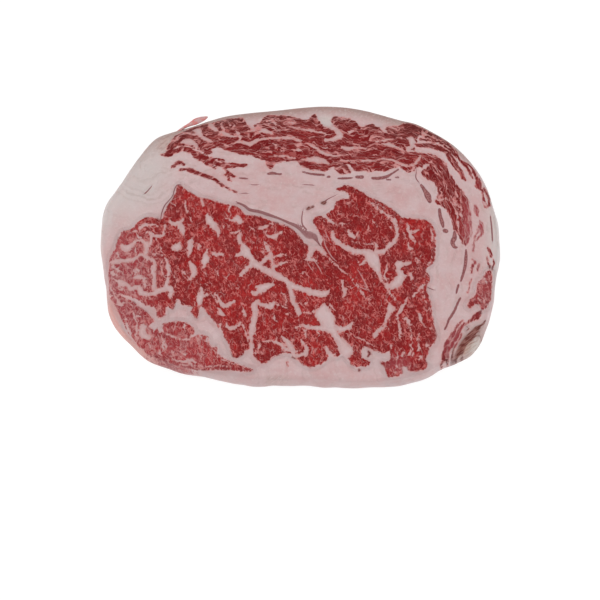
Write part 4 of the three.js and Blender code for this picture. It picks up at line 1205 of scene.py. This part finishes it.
class SteakColours(bpy.types.PropertyGroup):
    """Colours of lean and fat."""

    lean_deep: colour_property("Deep Lean", "Lean in the middle of a muscle", srgb(136, 11, 15))
    lean_bright: colour_property("Bright Lean", "Lean that air has reddened", srgb(166, 27, 27))
    # Dark Lean colours darker threads, and also paints the shade along the lean's edges next to fat.
    lean_dark_and_edge_shade: colour_property("Dark Lean", "Darker threads in the lean", srgb(102, 8, 14))
    lean_rosy: colour_property("Rosy Lean", "Lean of the left and right ends", srgb(164, 76, 85))
    lean_dried: colour_property("Dried Lean", "Lean that has browned", srgb(92, 34, 32))
    fleck: colour_property("Fleck", "Fine marbling", srgb(210, 122, 118))
    fat: colour_property("Fat", "Fat between the muscles", srgb(204, 177, 178))
    fat_vein: colour_property("Vein Fat", "Fat inside the muscles", srgb(192, 152, 151))
    fat_pink: colour_property("Pink Fat", "Fat that is tinged with pink", srgb(201, 162, 162))
    fat_grey: colour_property("Grey Fat", "Fat on the outer left and right", srgb(203, 192, 190))
    # Dried Fat colours the dried corner and the wrinkles, and paints the shade along the top rim.
    fat_dried_and_rim_shade: colour_property("Dried Fat", "Fat that has browned", srgb(156, 128, 118))
    fat_cream: colour_property("Cream Fat", "Fat outside the dried creases", srgb(206, 195, 188))
    fat_tan: colour_property("Tan Fat", "Fat that the dried creases stain", srgb(184, 154, 142))
    fat_orange: colour_property("Orange Fat", "Skin of the lower left rim", srgb(208, 144, 134))
    fat_pale: colour_property("Pale Fat", "Palest crumbs of the fat", srgb(214, 199, 197))
    island: colour_property("Grey Lean", "Pieces of lean that have gone grey", srgb(170, 116, 114))
    island_rim: colour_property("Dark Line", "Rims of grey lean, and membranes", srgb(124, 58, 62))
    membrane: colour_property("Membrane", "Middles of the wide membranes", srgb(152, 108, 109))
    crease: colour_property("Crease", "Bottoms of the dried creases", srgb(130, 70, 60))


class SteakStage(bpy.types.PropertyGroup):
    """The floor and the light."""

    floor_colour: colour_property("Floor", "Colour of the floor", (0.2, 0.2, 0.2, 1))
    floor_glow: number_property("Floor Glow", "Light that the floor gives off", 0.86, 2, subtype="FACTOR")
    light: number_property("Light", "Strength of every light", 1.0, 4, subtype="FACTOR")
    light_size: number_property("Light Size", "Side of each square light", 1.8, 4, 0.1, unit="LENGTH")


class STEAK_OT_slice(bpy.types.Operator):
    """Build the slice of meat"""

    bl_idname = "steak.slice"
    bl_label = "Slice"

    def execute(self, context):
        form = context.scene.steak_form
        mesh = slice_block()
        points = read_points(mesh)
        level = np.empty(len(points), np.float32)
        mesh.attributes["level"].data.foreach_get("value", level)
        mesh.attributes.remove(mesh.attributes["level"])
        placed, x, y = place_slice(form, points[:, 0], points[:, 1], level.astype(float))
        write_points(mesh, placed)
        lay_out(mesh, x, y)
        shade_smooth(mesh)
        piece = add_piece(context, "ribeye_slice", mesh,
                          meat_material(form, context.scene.steak_colours))
        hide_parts("steak")
        return {"FINISHED"}


class STEAK_OT_shred(bpy.types.Operator):
    """Build the shred that hangs loose at the rim"""

    bl_idname = "steak.shred"
    bl_label = "Shred"

    def execute(self, context):
        bm = bmesh.new()
        bmesh.ops.create_uvsphere(bm, u_segments=40, v_segments=24, radius=1)
        mesh = bpy.data.meshes.new("torn_shred")
        bm.to_mesh(mesh)
        bm.free()
        write_points(mesh, bend_shred(read_points(mesh)))
        shade_smooth(mesh)
        add_piece(context, "torn_shred", mesh, torn_fat_material(context.scene.steak_colours))
        return {"FINISHED"}


class STEAK_OT_stage(bpy.types.Operator):
    """Add the pale floor, the soft lights and the camera"""

    bl_idname = "steak.stage"
    bl_label = "Floor, Lights and Camera"

    def execute(self, context):
        stage = context.scene.steak_stage
        bm = bmesh.new()
        bmesh.ops.create_grid(bm, x_segments=8, y_segments=8, size=FLOOR_HALF)
        mesh = bpy.data.meshes.new("pale_floor")
        bm.to_mesh(mesh)
        bm.free()
        mesh.materials.append(floor_material(stage))
        floor = bpy.data.objects.new("pale_floor", mesh)
        context.scene.collection.objects.link(floor)

        for name, place, watts in LIGHTS:
            add_light(context, name, place, stage.light_size, watts * stage.light)
        world = bpy.data.worlds.new("soft_room")
        world.use_nodes = True
        world.node_tree.nodes["Background"].inputs["Color"].default_value = (1, 1, 1, 1)
        world.node_tree.nodes["Background"].inputs["Strength"].default_value = ROOM_LIGHT
        context.scene.world = world
        context.scene.view_settings.view_transform = "Standard"

        data = bpy.data.cameras.new("camera")
        data.lens = CAMERA_LENS
        data.sensor_width = CAMERA_SENSOR
        camera = bpy.data.objects.new("camera", data)
        back = Vector((0, -math.cos(CAMERA_RAISED), math.sin(CAMERA_RAISED)))
        camera.location = Vector(CAMERA_TARGET) + CAMERA_DISTANCE * back
        camera.rotation_euler = (math.radians(90) - CAMERA_RAISED, 0, 0)
        context.scene.collection.objects.link(camera)
        context.scene.camera = camera
        return {"FINISHED"}


class VIEW3D_PT_steak(bpy.types.Panel):
    """Lists the steak's settings and pieces"""

    bl_label = "Raw Ribeye Steak"
    bl_idname = "VIEW3D_PT_steak"
    bl_space_type = "VIEW_3D"
    bl_region_type = "UI"
    bl_category = "Steak"

    def draw(self, context):
        for name in SETTINGS:
            box = self.layout.box()
            settings = getattr(context.scene, name)
            for key in settings.__annotations__:
                box.prop(settings, key)
        for operator in (STEAK_OT_slice, STEAK_OT_shred, STEAK_OT_stage):
            self.layout.operator(operator.bl_idname)


SETTINGS = {"steak_form": SteakForm, "steak_colours": SteakColours, "steak_stage": SteakStage}
CLASSES = (*SETTINGS.values(), STEAK_OT_slice, STEAK_OT_shred, STEAK_OT_stage, VIEW3D_PT_steak)


def register():
    for each in CLASSES:
        bpy.utils.register_class(each)
    for name, group in SETTINGS.items():
        setattr(bpy.types.Scene, name, PointerProperty(type=group))


def unregister():
    for name in SETTINGS:
        delattr(bpy.types.Scene, name)
    for each in reversed(CLASSES):
        bpy.utils.unregister_class(each)


def main():
    register()
    bpy.ops.steak.slice()
    bpy.ops.steak.shred()
    bpy.ops.steak.stage()


if __name__ == "__main__":
    main()
